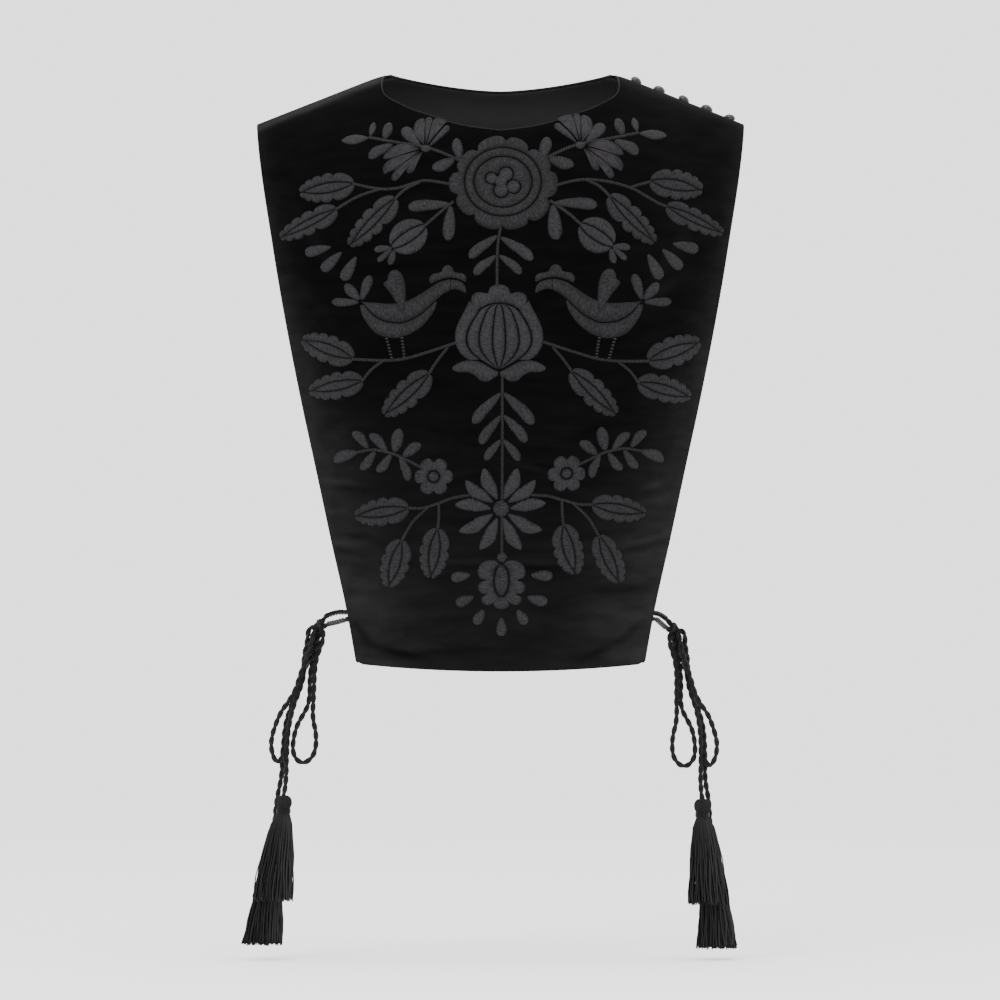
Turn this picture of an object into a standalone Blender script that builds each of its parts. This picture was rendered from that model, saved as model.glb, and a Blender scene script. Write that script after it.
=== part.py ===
"""Embroidered folk vest: a cropped velvet front and back, buttoned on one shoulder and tied at both sides.

Metres, +Z up, the front faces -Y and +X is the left hand of whoever wears it.
The origin lies midway between the middles of the two shoulder lines, where the wearer's shoulders carry it.

Each panel is worked out in its own cloth coordinates: x across, and s down over the shoulder along the cloth.
"""

import math

import bmesh
import bpy
import numpy as np
from mathutils import Vector
from mathutils.geometry import delaunay_2d_cdt

COLLECTION = "embroidered_folk_vest"

# Cut of the panels
SHOULDER_HALF = 0.195  # centre line to shoulder tip
NECK_HALF = 0.091  # centre line to the neck end of a shoulder line
SHOULDER_DROP = 0.0416  # neck end to tip
RIDGE_ROUNDING = 0.005  # softening where the shoulder line starts
NECK_POINT_Z = SHOULDER_DROP / 2
HEM_Z = -0.4559  # centre of the hem
HEM_HALF = 0.115  # half width along the hem, nearly
HEM_RISE = 0.0055  # corners of the hem above its centre
HEM_CORNER = 0.0025  # cut of the rounded hem corners
BACK_TRIM = 0.003  # the back is this much shorter and narrower
BACK_NECK_Z = 0.0088
BACK_NECK_POWER = 1.6

# Cloth
WALL = 0.0020
RAISED = 0.0010  # height of the padded embroidery
LINING = 0.0010
GAP = 0.0003  # between touching pieces

# Form over the shoulders
FRONT_ROLL = 0.070
BACK_ROLL = 0.080
RIDGE_LEAN = 0.006  # the shoulder line lies this far back at the neck and forward at the tip
SECTION_POWER = 2.3

# Half width of the panels by height
SIDE_EDGE = (
    # height, half width
    (0.0300, 0.1960),
    (-0.0208, 0.1950),
    (-0.1200, 0.1815),
    (-0.2400, 0.1592),
    (-0.3000, 0.1462),
    (-0.3524, 0.1350),
    (-0.4069, 0.1228),
    (-0.4700, 0.1115),
)

# A general figure by height
FIGURE = (
    # height, chest depth, back depth, half width
    (0.0400, 0.0500, 0.0740, 0.2160),
    (-0.0100, 0.0650, 0.0860, 0.2150),
    (-0.0600, 0.0820, 0.0940, 0.2120),
    (-0.1200, 0.1010, 0.1000, 0.2050),
    (-0.1900, 0.1130, 0.1000, 0.1960),
    (-0.2700, 0.1090, 0.0900, 0.1830),
    (-0.3500, 0.1000, 0.0810, 0.1690),
    (-0.4200, 0.0960, 0.0790, 0.1560),
    (-0.4800, 0.0970, 0.0830, 0.1500),
)

# Front neckline from the shoulder to the centre, in cloth coordinates
FRONT_NECK = (
    # across, down
    (0.0910, 0.0000),
    (0.0942, 0.0300),
    (0.0912, 0.0515),
    (0.0755, 0.0659),
    (0.0575, 0.0742),
    (0.0310, 0.0836),
    (0.0000, 0.0884),
)

# Broad, shallow folds of the front below the bust
FOLDS = (
    # across, height, half length, half width, depth, turn in degrees
    (-0.085, -0.330, 0.060, 0.016, -0.0022, 8.0),
    (-0.070, -0.395, 0.070, 0.018, -0.0026, -6.0),
    (0.090, -0.310, 0.055, 0.017, -0.0022, -10.0),
    (0.078, -0.385, 0.065, 0.018, -0.0024, 7.0),
    (-0.010, -0.425, 0.080, 0.016, 0.0018, 2.0),
)

# Cloth mesh
SMOOTH_DEGREES = 40.0
ROLL_STEPS = 7
BODY_STEPS = 9
ACROSS_STEPS = 14
NECK_STEPS = 3  # points in each span of the front neckline
BACK_NECK_STEPS = 16
RIDGE_STEPS = 5
PLAIN_CLEARANCE = 0.008  # of the filling points from the cut edge
MOTIF_CLEARANCE = 0.013  # and from the edge and the motifs on the embroidered face

# The embroidery's chart: squares counted out from the centre line and down from a line above the neck
CHART_SQUARE = 0.00079
CHART_TOP = 0.0742  # height of the chart's first row
STEM_WIDTH = 4.0
LEG_WIDTH = 3.0
GROOVE = 1.6

SCALLOPED_LEAVES = (
    # base out, base down, tip out, tip down, width
    (146.5, 183.5, 200.5, 192.0, 31.0),
    (163.5, 209.0, 220.5, 237.0, 21.0),
    (104.5, 198.5, 150.5, 246.0, 24.0),
    (146.5, 359.0, 197.5, 339.5, 30.0),
    (137.0, 381.0, 190.5, 391.0, 28.0),
    (70.5, 374.0, 115.5, 415.0, 28.0),
    (91.5, 508.0, 144.5, 516.0, 30.0),
    (98.5, 540.0, 111.5, 586.5, 32.0),
    (62.5, 528.5, 69.5, 577.0, 33.0),
)
SMALL_LEAVES = (
    # base out, base down, tip out, tip down, width
    (131.5, 137.0, 159.5, 140.0, 10.0),
    (130.5, 136.0, 127.0, 122.0, 8.0),
    (116.5, 139.0, 110.5, 122.0, 11.0),
    (107.5, 144.0, 132.0, 158.0, 11.0),
    (40.5, 160.0, 44.5, 138.0, 11.0),
    (45.5, 159.5, 68.5, 169.0, 12.0),
    (49.5, 205.0, 92.5, 208.0, 12.0),
    (49.5, 206.0, 52.5, 242.0, 13.0),
    (1.5, 237.0, 31.5, 259.0, 12.0),
    (1.5, 256.0, 25.5, 276.0, 11.0),
    (1.5, 394.0, 28.5, 423.5, 14.0),
    (1.5, 417.0, 20.0, 445.0, 12.0),
    (1.5, 440.0, 13.5, 461.0, 9.0),
    (142.5, 452.0, 166.0, 461.0, 10.0),
    (131.5, 449.0, 147.5, 431.5, 10.0),
    (112.5, 452.0, 130.5, 434.0, 10.0),
    (105.5, 453.0, 100.5, 429.0, 12.0),
    (97.5, 457.0, 79.0, 444.0, 10.0),
    (124.5, 451.0, 139.5, 470.0, 10.0),
    (108.5, 454.0, 123.5, 472.0, 10.0),
    (100.5, 456.0, 92.5, 481.0, 12.0),
    (106.0, 250.0, 126.5, 251.5, 7.0),
    (106.0, 250.5, 122.0, 262.0, 7.0),
    (105.0, 250.0, 110.5, 266.5, 7.0),
    (136.5, 305.0, 168.5, 302.0, 11.0),
    (137.0, 305.0, 153.5, 284.0, 11.0),
    (134.0, 306.0, 129.5, 275.5, 12.0),
    (5.0, 499.0, 16.5, 468.5, 13.0),
    (8.0, 503.0, 35.0, 481.0, 13.0),
    (9.0, 508.5, 45.0, 505.5, 12.0),
    (8.0, 513.0, 41.5, 531.0, 13.0),
    (5.0, 517.0, 21.5, 549.0, 13.0),
)
PETALS = (
    # point out, point down, round end out, round end down, width
    (73.5, 146.0, 100.5, 127.0, 15.0),
    (72.5, 146.0, 82.5, 114.5, 17.0),
    (70.5, 146.0, 64.0, 118.5, 14.0),
    (69.5, 147.0, 49.5, 126.0, 9.0),
    (76.5, 149.0, 118.5, 159.0, 14.0),
    (75.5, 150.0, 108.5, 182.0, 16.0),
    (73.5, 150.0, 89.5, 174.0, 13.0),
    (168.5, 247.0, 195.5, 253.0, 10.0),
    (158.0, 252.0, 178.5, 271.0, 10.0),
    (143.5, 256.5, 157.5, 281.0, 10.0),
    (59.0, 288.0, 66.5, 275.0, 8.0),
    (52.5, 288.0, 52.5, 266.0, 9.0),
    (47.5, 288.0, 38.0, 274.5, 8.0),
    (29.5, 574.5, 49.5, 578.0, 11.0),
    (26.0, 596.0, 44.5, 604.0, 11.0),
    (16.5, 609.0, 25.5, 624.0, 11.0),
)
CENTRE_DROP = (0.0, 616.5, 0.0, 634.5, 11.0)
STEMS = (
    # points out and down from root to end
    ((38.0, 163.0), (45.0, 158.7), (71.5, 148.0), (104.5, 142.0), (132.5, 136.5)),
    ((48.0, 185.0), (73.5, 181.0), (86.5, 183.5), (103.0, 188.5), (122.5, 189.0), (148.5, 183.5)),
    ((119.0, 188.8), (143.0, 197.0), (165.5, 210.0)),
    ((80.0, 182.5), (95.0, 189.5), (106.5, 200.5)),
    ((46.5, 202.0), (60.0, 213.0), (76.0, 227.0)),
    ((42.0, 343.0), (75.5, 354.0), (98.5, 360.0), (121.5, 361.0), (148.5, 359.5)),
    ((116.0, 361.0), (128.5, 370.0), (138.5, 382.0)),
    ((52.0, 348.0), (62.5, 361.0), (72.0, 375.5)),
    ((72.0, 471.0), (99.5, 457.0), (110.0, 453.0), (126.5, 450.0), (144.5, 452.5)),
    ((30.0, 495.0), (48.0, 498.0), (62.5, 503.5), (78.0, 508.0), (93.5, 508.0)),
    ((72.0, 507.0), (87.5, 522.0), (99.5, 542.0)),
    ((61.5, 503.0), (61.5, 517.0), (62.8, 530.5)),
)
CENTRE_STEMS = (
    ((0.0, 227.0), (0.0, 289.0)),
    ((0.0, 376.0), (0.0, 502.0)),
    ((0.0, 515.0), (0.0, 563.0)),
)
LEGS = (
    ((112.5, 335.0), (108.0, 360.5)),
    ((98.0, 335.0), (96.5, 359.5)),
)
BIRD_BODY = (
    # out, down, round the body from the rump
    (140.5, 302.0), (122.5, 304.0), (108.0, 305.0), (96.5, 310.0), (92.0, 303.0), (81.5, 295.5),
    (67.5, 287.0), (54.5, 280.0), (45.5, 280.0), (38.5, 285.5), (34.5, 294.0), (42.5, 292.0),
    (54.5, 294.0), (65.5, 303.0), (72.5, 318.0), (84.5, 330.0), (105.5, 339.0), (120.5, 336.5),
    (132.0, 327.0), (139.5, 314.0),
)
BIRD_WING = (
    (96.5, 313.0), (112.5, 294.0), (117.0, 284.5), (111.8, 279.5), (113.0, 273.0), (104.5, 269.5),
    (98.0, 274.5), (94.5, 286.0), (93.5, 300.0),
)
TULIP_HALF = (
    # out, down, from the top lobe to the foot
    (0.0, 285.0), (8.0, 287.5), (12.5, 293.5), (20.5, 292.0), (28.5, 297.0), (31.5, 304.0), (37.0, 317.0),
    (45.0, 328.5), (45.0, 341.0), (38.0, 352.0), (31.0, 360.0), (36.5, 364.5), (48.0, 371.0), (37.0, 375.0),
    (24.5, 374.0), (14.5, 382.5), (5.0, 375.0),
)
ROSE = (0.0, 182.0, 55.0, 47.0, 10)  # centre out and down, radii, lobes
ROSE_RINGS = ((38.0, 35.0), (28.0, 26.0), (17.0, 16.0))
TULIP_RING = (0.0, 338.0, 34.0, 33.0)
SPRIG_FLOWER = (66.5, 477.0, 19.0, 19.0, 6)
SPRIG_RING = (66.5, 477.0, 7.5, 7.5)
FOOT_FLOWER = (0.0, 584.5, 24.5, 24.5, 7)
FOOT_RING = (0.0, 580.0, 9.0, 16.0)
BUD = (91.5, 238.0, 23.0, 17.0)
BUD_TURN = 30.0
BALLS = ((71.5, 148.0, 5.5),)
CENTRE_BALLS = ((0.0, 557.0, 5.5), (0.0, 508.5, 10.0))

# Buttons along one shoulder
BUTTON_COUNT = 5
BUTTON_FIRST_X = 0.1075
BUTTON_LAST_X = 0.1835
BUTTON_BEHIND = 0.0085  # behind the shoulder line
BUTTON_RADIUS = 0.0053
BUTTON_LIFT = 0.0016  # underside above the cloth
BUTTON_CROWN = 0.0046
BUTTON_RIM = 0.0007  # height of the edge under the dome
BUTTON_SIDES = 10
DOME_STEPS = 4
SHANK_RADIUS = 0.0013
SHOULDER_REACH = 0.060  # along the cloth, past anything on the shoulder
LOOP_RADIUS = 0.0005
LOOP_LIFT = 0.0003  # loop above the cloth
LOOP_HALF_WIDTH = 0.0026
LOOP_START = 0.0045  # in front of the shoulder line
LOOP_STEP = 0.0038

# Side ties: twisted cord
CORD_RADIUS = 0.0018
CORD_STEP = 3.0 * 2 * CORD_RADIUS
TIE_Z_FRONT = -0.4150
TIE_Z_BACK = -0.4110
TIE_Y = -0.008  # depth of the bow
EXIT_RUN = 0.004  # straight run out of a panel's edge
STRAND_RISE = 0.0035  # of the strand's middle above its ends
STRAND_ENDS = (
    # from the knot: out, depth, down, in millimetres
    (-6.6, -3.4, -1.6),
    (-6.6, 3.4, -3.6),
)
KNOT_RADII = (0.0054, 0.0062, 0.0050)
KNOT_SQUARE = 0.07
TIES = (
    # name, side, knot out, knot height, lean of the bow towards the body
    ("left", -1, 0.1446, -0.4204, 0.000),
    ("right", 1, 0.1384, -0.4232, 0.043),
)
# Routes from the knot: out from the body, depth, down, in millimetres
INNER_LOOP = (
    (-3.2, -2.1, 5.8), (-2.2, -2.1, 14.0), (1.6, -2.1, 24.4), (3.6, -2.1, 34.8), (4.2, -2.1, 46.0),
    (4.6, -2.1, 57.0), (5.2, -2.1, 67.0), (5.0, -2.1, 76.0), (3.1, -2.0, 85.2), (2.8, -2.0, 94.8),
    (4.4, -1.8, 103.0), (9.0, -1.2, 108.8), (13.8, -0.5, 110.4), (18.4, 0.5, 107.6), (21.2, 1.4, 101.2),
    (20.6, 2.0, 90.8), (17.8, 2.1, 80.4), (13.2, 2.1, 72.0), (9.4, 2.1, 64.8), (8.0, 2.1, 56.0),
    (7.8, 2.1, 46.0), (6.8, 2.1, 34.8), (4.6, 2.1, 24.4), (1.6, 2.1, 14.0), (0.6, 2.1, 5.8),
)
OUTER_LOOP = (
    (4.6, -3.0, 5.8), (6.4, -3.6, 14.0), (8.6, -4.2, 22.2), (12.4, -4.2, 32.0), (15.8, -4.2, 42.0),
    (19.4, -4.2, 52.4), (24.6, -4.0, 61.2), (30.4, -3.6, 69.4), (35.2, -3.2, 80.4), (38.2, -2.6, 91.0),
    (38.4, -1.8, 99.0), (36.6, -0.8, 106.0), (33.4, 0.0, 110.4), (30.2, 1.2, 106.6), (29.2, 2.6, 99.0),
    (28.4, 3.6, 88.4), (26.4, 4.2, 76.4), (22.4, 4.2, 64.4), (18.0, 4.2, 52.4), (14.8, 4.2, 42.0),
    (11.2, 4.2, 31.6), (8.4, 4.2, 22.0), (5.6, 3.6, 14.0), (4.4, 2.6, 5.8),
)
FRONT_TAIL = (
    (7.0, 0.0, 1.6), (8.4, 0.0, 3.6), (9.4, 0.0, 7.2), (9.6, 0.0, 12.4), (11.6, 0.0, 22.0), (12.6, 0.0, 30.0),
    (12.8, 0.0, 41.2), (16.0, 0.0, 52.4), (20.0, 0.0, 62.8), (23.2, 0.0, 74.8), (25.2, 0.0, 86.8),
    (25.9, 0.0, 98.8), (26.4, 0.0, 110.0), (26.6, -0.6, 120.4), (27.4, -2.0, 130.0), (28.4, -3.6, 135.4),
)
BACK_TAIL = (
    (3.2, 6.8, 5.2), (4.0, 7.8, 14.0), (6.4, 8.4, 22.0), (10.4, 8.4, 31.6), (14.0, 8.4, 42.0), (16.8, 8.4, 52.4),
    (21.2, 8.4, 64.4), (24.8, 8.2, 76.4), (27.4, 7.8, 88.4), (28.6, 7.0, 98.8), (29.8, 5.8, 108.4),
    (30.2, 5.2, 117.2), (31.4, 5.2, 126.0), (33.6, 7.0, 135.6), (35.4, 9.6, 146.0), (36.8, 12.0, 158.0),
    (37.8, 12.8, 167.6),
)

# Tassels: the head's top from the knot, and how far the skirt swings out and in depth, in millimetres
TASSELS = (
    # name, out, depth, down, swing out, swing in depth
    ("front", 28.6, -3.8, 136.2, 8.6, -3.5),
    ("back", 37.9, 12.9, 168.4, 8.0, 3.0),
)
TASSEL_HEAD = (
    # radius, below the top, millimetres
    (1.9, 0.0), (4.6, 1.0), (6.4, 4.2), (6.4, 7.6), (5.2, 10.6), (5.4, 12.2), (5.4, 14.4), (3.2, 15.4),
)
TASSEL_LENGTH = 0.084
STRAND_RINGS = (
    # strands, root radius, end radius across, end radius in depth, millimetres
    (14, 4.3, 14.8, 9.2),
    (8, 2.3, 8.0, 4.8),
    (2, 0.9, 2.4, 1.6),
)
STRAND_ROOT = 0.00075
STRAND_END = 0.00150
STRAND_SINK = 1.2  # roots inside the head, millimetres
HEAD_SIDES = 12

VELVET = ("black_velvet", (0.012, 0.012, 0.014, 1.0), 0.9)
SATIN = ("dark_satin", (0.030, 0.028, 0.030, 1.0), 0.45)
CORD = ("black_cord", (0.016, 0.016, 0.016, 1.0), 0.75)
GLOSS = ("black_button", (0.010, 0.010, 0.011, 1.0), 0.08)


# ---------------------------------------------------------------- tools


def column(table, index, at):
    """Reads one column of a table at a height, by a smooth curve through its rows."""
    rows = table[::-1]
    heights = [row[0] for row in rows]
    values = [row[index] for row in rows]
    slopes = np.gradient(values, heights)
    i = min(max(int(np.searchsorted(heights, at)) - 1, 0), len(rows) - 2)
    span = heights[i + 1] - heights[i]
    t = (at - heights[i]) / span
    h00 = 2 * t**3 - 3 * t**2 + 1
    h10 = t**3 - 2 * t**2 + t
    h01 = 3 * t**2 - 2 * t**3
    h11 = t**3 - t**2
    return h00 * values[i] + h10 * span * slopes[i] + h01 * values[i + 1] + h11 * span * slopes[i + 1]


def smooth_path(points, per_span, closed=False):
    """A Catmull-Rom curve through the points."""
    points = [np.array(p, float) for p in points]
    count = len(points)
    spans = count if closed else count - 1
    path = []
    for i in range(spans):
        if closed:
            a, b, c, d = (points[(i + k) % count] for k in (-1, 0, 1, 2))
        else:
            b, c = points[i], points[i + 1]
            a = points[i - 1] if i > 0 else 2 * b - c
            d = points[i + 2] if i + 2 < count else 2 * c - b
        for k in range(per_span):
            t = k / per_span
            path.append(0.5 * (2 * b + (c - a) * t + (2 * a - 5 * b + 4 * c - d) * t**2
                               + (3 * b - 3 * c + d - a) * t**3))
    if not closed:
        path.append(points[-1])
    return path


def respaced(path, step):
    """Points at about even steps along a path."""
    path = np.array(path)
    lengths = np.linalg.norm(np.diff(path, axis=0), axis=1)
    along = np.concatenate([[0.0], np.cumsum(lengths)])
    count = max(3, round(along[-1] / step) + 1)
    at = np.linspace(0.0, along[-1], count)
    return np.stack([np.interp(at, along, path[:, k]) for k in range(path.shape[1])], axis=1)


def make_material(spec):
    name, colour, roughness = spec
    material = bpy.data.materials.get(name)
    if material is None:
        material = bpy.data.materials.new(name)
        material.use_nodes = True
        shader = material.node_tree.nodes["Principled BSDF"]
        shader.inputs["Base Color"].default_value = colour
        shader.inputs["Roughness"].default_value = roughness
        shader.inputs["Metallic"].default_value = 0.0
        material.diffuse_color = colour
    return material


def add_object(name, data, collection, spec):
    piece = bpy.data.objects.new(name, data)
    collection.objects.link(piece)
    data.materials.append(make_material(spec))
    return piece


def mesh_from_bmesh(name, work):
    bmesh.ops.recalc_face_normals(work, faces=work.faces)
    mesh = bpy.data.meshes.new(name)
    work.to_mesh(mesh)
    work.free()
    mesh.shade_smooth()
    mesh.set_sharp_from_angle(angle=math.radians(SMOOTH_DEGREES))
    return mesh


def add_turned(name, profile, steps, collection, spec):
    """A profile of (radius, height) down its outer side, turned about Z."""
    mesh = bpy.data.meshes.new(name)
    edges = [(k, k + 1) for k in range(len(profile) - 1)]
    mesh.from_pydata([(radius, 0.0, height) for radius, height in profile], edges, [])
    piece = add_object(name, mesh, collection, spec)
    screw = piece.modifiers.new("turned", "SCREW")
    screw.steps = steps
    screw.render_steps = steps
    screw.use_merge_vertices = True
    screw.merge_threshold = 0.00002
    return piece


# ---------------------------------------------------------------- form of the worn cloth


def ridge_z(x):
    """Height of the shoulder line, carried on level across the neck."""
    slope = SHOULDER_DROP / (SHOULDER_HALF - NECK_HALF)
    past = (abs(x) - NECK_HALF) / RIDGE_ROUNDING
    soft = math.log1p(math.exp(min(past, 40.0))) if past < 40.0 else past
    return NECK_POINT_Z - slope * RIDGE_ROUNDING * soft


def ridge_y(x):
    t = (abs(x) - NECK_HALF) / (SHOULDER_HALF - NECK_HALF)
    return RIDGE_LEAN * (1.0 - 2.0 * min(max(t, -0.5), 1.2))


def fold_depth(x, z):
    """Soft troughs and ridges, outward positive."""
    total = 0.0
    for across, height, half_length, half_width, depth, turn in FOLDS:
        c, s = math.cos(math.radians(turn)), math.sin(math.radians(turn))
        along = (c * (x - across) + s * (z - height)) / half_length
        over = (c * (z - height) - s * (x - across)) / half_width
        total += depth * math.exp(-along * along - over * over)
    return total


def drop_at(s, roll):
    quarter = roll * math.pi / 2
    if s < quarter:
        return roll * (1.0 - math.cos(s / roll)), math.sin(s / roll)
    return roll + s - quarter, 1.0


def cloth_s(drop, roll):
    """Distance along the cloth for a drop below the shoulder line."""
    if drop < roll:
        return roll * math.acos(1.0 - drop / roll)
    return roll * math.pi / 2 + drop - roll


def cloth_point(x, s, front):
    """A point of the velvet's outer face."""
    roll = FRONT_ROLL if front else BACK_ROLL
    drop, fall = drop_at(s, roll)
    z = ridge_z(x) - drop
    depth = column(FIGURE, 1 if front else 2, z)
    half = column(FIGURE, 3, z)
    bulge = math.sqrt(max(0.0, 1.0 - abs(x / half) ** SECTION_POWER))
    reach = depth * bulge + (fold_depth(x, z) if front else 0.0)
    seam = GAP / 2
    y0 = ridge_y(x)
    if front:
        return np.array((x, y0 - seam - (reach + y0) * fall, z))
    return np.array((x, y0 + seam + (reach - y0) * fall, z))


def cloth_normal(x, s, front):
    e = 0.0005
    dx = cloth_point(x + e, s, front) - cloth_point(x - e, s, front)
    ds = cloth_point(x, s + e, front) - cloth_point(x, s - e, front)
    n = np.cross(ds, dx) if front else np.cross(dx, ds)
    return n / np.linalg.norm(n)


def side_x(s, front):
    """Half width of a panel at a place along its side edge."""
    roll = FRONT_ROLL if front else BACK_ROLL
    drop = drop_at(s, roll)[0]
    x = SHOULDER_HALF
    for _ in range(8):
        x = column(SIDE_EDGE, 1, ridge_z(x) - drop)
    return x if front else x - BACK_TRIM * min(1.0, s / roll)


def hem_s(x, front):
    """Cloth distance of the hem at a place across."""
    roll = FRONT_ROLL if front else BACK_ROLL
    z = HEM_Z + HEM_RISE * (x / HEM_HALF) ** 2 + (0.0 if front else BACK_TRIM)
    return cloth_s(ridge_z(x) - z, roll)


# ---------------------------------------------------------------- outlines in cloth coordinates


def row_places(front):
    roll = FRONT_ROLL if front else BACK_ROLL
    quarter = roll * math.pi / 2
    end = hem_s(HEM_HALF, front)
    rows = [quarter * k / ROLL_STEPS for k in range(ROLL_STEPS)]
    rows += [quarter + (end - quarter) * k / BODY_STEPS for k in range(BODY_STEPS)]
    return rows


def neck_line(front):
    """From the right neck point to the left one."""
    if front:
        half = smooth_path(FRONT_NECK, NECK_STEPS)
        return half + [np.array((-p[0], p[1])) for p in half[-2::-1]]
    line = []
    for k in range(BACK_NECK_STEPS + 1):
        x = NECK_HALF * math.cos(math.pi * k / BACK_NECK_STEPS)
        z = BACK_NECK_Z + (NECK_POINT_Z - BACK_NECK_Z) * abs(x / NECK_HALF) ** BACK_NECK_POWER
        drop = max(0.0, ridge_z(x) - z) if abs(x) < NECK_HALF * 0.999 else 0.0
        line.append(np.array((x, cloth_s(drop, BACK_ROLL))))
    return line


def panel_outline(front):
    """The cut edge of a panel, from the left shoulder tip over the neck and round."""
    sides = [(side_x(s, front), s) for s in row_places(front)]
    corner_x = side_x(hem_s(HEM_HALF, front), front)
    corner_s = hem_s(corner_x, front)
    corner = []
    for turn in (0.0, 45.0, 90.0):
        inward = HEM_CORNER * (1.0 - math.cos(math.radians(turn)))
        upward = HEM_CORNER * (1.0 - math.sin(math.radians(turn)))
        corner.append((corner_x - inward, corner_s - upward))
    hem = []
    for k in range(1, ACROSS_STEPS):
        x = corner_x * (1.0 - 2.0 * k / ACROSS_STEPS)
        hem.append((x, hem_s(x, front)))
    ridge = [SHOULDER_HALF + (NECK_HALF - SHOULDER_HALF) * k / RIDGE_STEPS for k in range(RIDGE_STEPS)]
    right = sides[1:] + corner
    left = [(-x, s) for x, s in right[::-1]]
    outline = [(-x, 0.0) for x in ridge]
    outline += [tuple(p) for p in neck_line(front)[::-1]]
    outline += [(x, 0.0) for x in ridge[::-1]]
    outline += right
    outline += hem
    outline += left
    return outline


def inside(point, polygon):
    x, y = point
    result = False
    for (x0, y0), (x1, y1) in zip(polygon, polygon[1:] + polygon[:1]):
        if (y0 > y) != (y1 > y) and x < x0 + (y - y0) * (x1 - x0) / (y1 - y0):
            result = not result
    return result


def filling_points(outline, front, clearance, avoid=()):
    """A regular set of points inside a panel, clear of its edge and of other points."""
    taken = np.array([tuple(p) for p in outline] + [tuple(p) for p in avoid])
    result = []
    for s in row_places(front)[1:]:
        half = side_x(s, front)
        for k in range(1, ACROSS_STEPS):
            p = (half * (2.0 * k / ACROSS_STEPS - 1.0), s)
            if inside(p, outline) and np.hypot(*(taken - p).T).min() > clearance:
                result.append(p)
    return result


def turned_round(polygon):
    """The polygon as (across, -down), anticlockwise."""
    points = [(float(p[0]), -float(p[1])) for p in polygon]
    area = sum(a[0] * b[1] - b[0] * a[1] for a, b in zip(points, points[1:] + points[:1]))
    return points if area > 0.0 else points[::-1]


def triangulate(outline, shapes, extra):
    """Triangles of a panel as (points, [(triangle, level)]), where the last shape round one gives its level."""
    points = []
    faces = []
    levels = []
    for polygon, level in [(outline, 0)] + shapes:
        faces.append(list(range(len(points), len(points) + len(polygon))))
        points += turned_round(polygon)
        levels.append(level)
    points += [(p[0], -p[1]) for p in extra]
    flat, _, triangles, _, _, owners = delaunay_2d_cdt([Vector(p) for p in points], [], faces, 0, 2e-6, True)
    result = [(tri, levels[max(own)]) for tri, own in zip(triangles, owners) if 0 in own]
    return [(p[0], -p[1]) for p in flat], result


# ---------------------------------------------------------------- embroidery motifs, in chart squares


def frame_of(base, tip):
    base, tip = np.array(base, float), np.array(tip, float)
    axis = tip - base
    return base, axis, np.array((-axis[1], axis[0])) / np.linalg.norm(axis)


def scalloped_leaf(base_out, base_down, tip_out, tip_down, width, lobes=3, per_lobe=3):
    """A leaf with rounded lobes down both sides and a rounded tip."""
    base, axis, across = frame_of((base_out, base_down), (tip_out, tip_down))
    sides = []
    for k in range(lobes * per_lobe + 1):
        t = k / (lobes * per_lobe)
        body = math.sin(math.pi * min(1.0, 0.06 + 0.86 * t**0.85)) ** 0.75
        lobe = 0.80 + 0.20 * abs(math.sin(math.pi * k / per_lobe))
        sides.append((t, 0.5 * width * body * lobe))
    right = [base + axis * t + across * r for t, r in sides]
    left = [base + axis * t - across * r for t, r in sides[::-1]]
    return right + [base + axis * 1.03] + left


def lens_leaf(base_out, base_down, tip_out, tip_down, width, steps=3):
    base, axis, across = frame_of((base_out, base_down), (tip_out, tip_down))
    places = [k / steps for k in range(1, steps)]
    right = [base + axis * t + across * 0.5 * width * math.sin(math.pi * t**0.9) for t in places]
    left = [base + axis * t - across * 0.5 * width * math.sin(math.pi * t**0.9) for t in places[::-1]]
    return [base] + right + [base + axis] + left


def petal(point_out, point_down, end_out, end_down, width, steps=4):
    """Pointed at one end and round at the other."""
    base, axis, across = frame_of((point_out, point_down), (end_out, end_down))
    length = np.linalg.norm(axis)
    radius = 0.5 * width
    centre = base + axis * (1.0 - radius / length)
    along = axis / length
    arc = []
    for k in range(steps + 1):
        turn = math.radians(-100.0 + 200.0 * k / steps)
        arc.append(centre + radius * (along * math.cos(turn) + across * math.sin(turn)))
    return [base] + arc


def ring_shape(out, down, radius_out, radius_down, steps=20, turn=0.0):
    c, s = math.cos(math.radians(turn)), math.sin(math.radians(turn))
    result = []
    for k in range(steps):
        a = 2 * math.pi * k / steps
        u, v = radius_out * math.cos(a), radius_down * math.sin(a)
        result.append(np.array((out + c * u - s * v, down + s * u + c * v)))
    return result


def scalloped_round(out, down, radius_out, radius_down, lobes, per_lobe=4, depth=0.13):
    result = []
    for k in range(lobes * per_lobe):
        a = 2 * math.pi * k / (lobes * per_lobe) + math.pi / 2
        r = 1.0 - depth * (1.0 - abs(math.sin(lobes * (a - math.pi / 2) / 2 + math.pi / 2)))
        result.append(np.array((out + radius_out * r * math.cos(a), down + radius_down * r * math.sin(a))))
    return result


def ribbon(points, width, per_span=2):
    """A strip of even width along a curve."""
    path = np.array(smooth_path(points, per_span))
    along = np.gradient(path, axis=0)
    along /= np.linalg.norm(along, axis=1)[:, None]
    across = np.stack([-along[:, 1], along[:, 0]], axis=1) * width / 2
    return [tuple(p) for p in path + across] + [tuple(p) for p in (path - across)[::-1]]


def mirrored(polygon):
    return [(-p[0], p[1]) for p in polygon]


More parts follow.
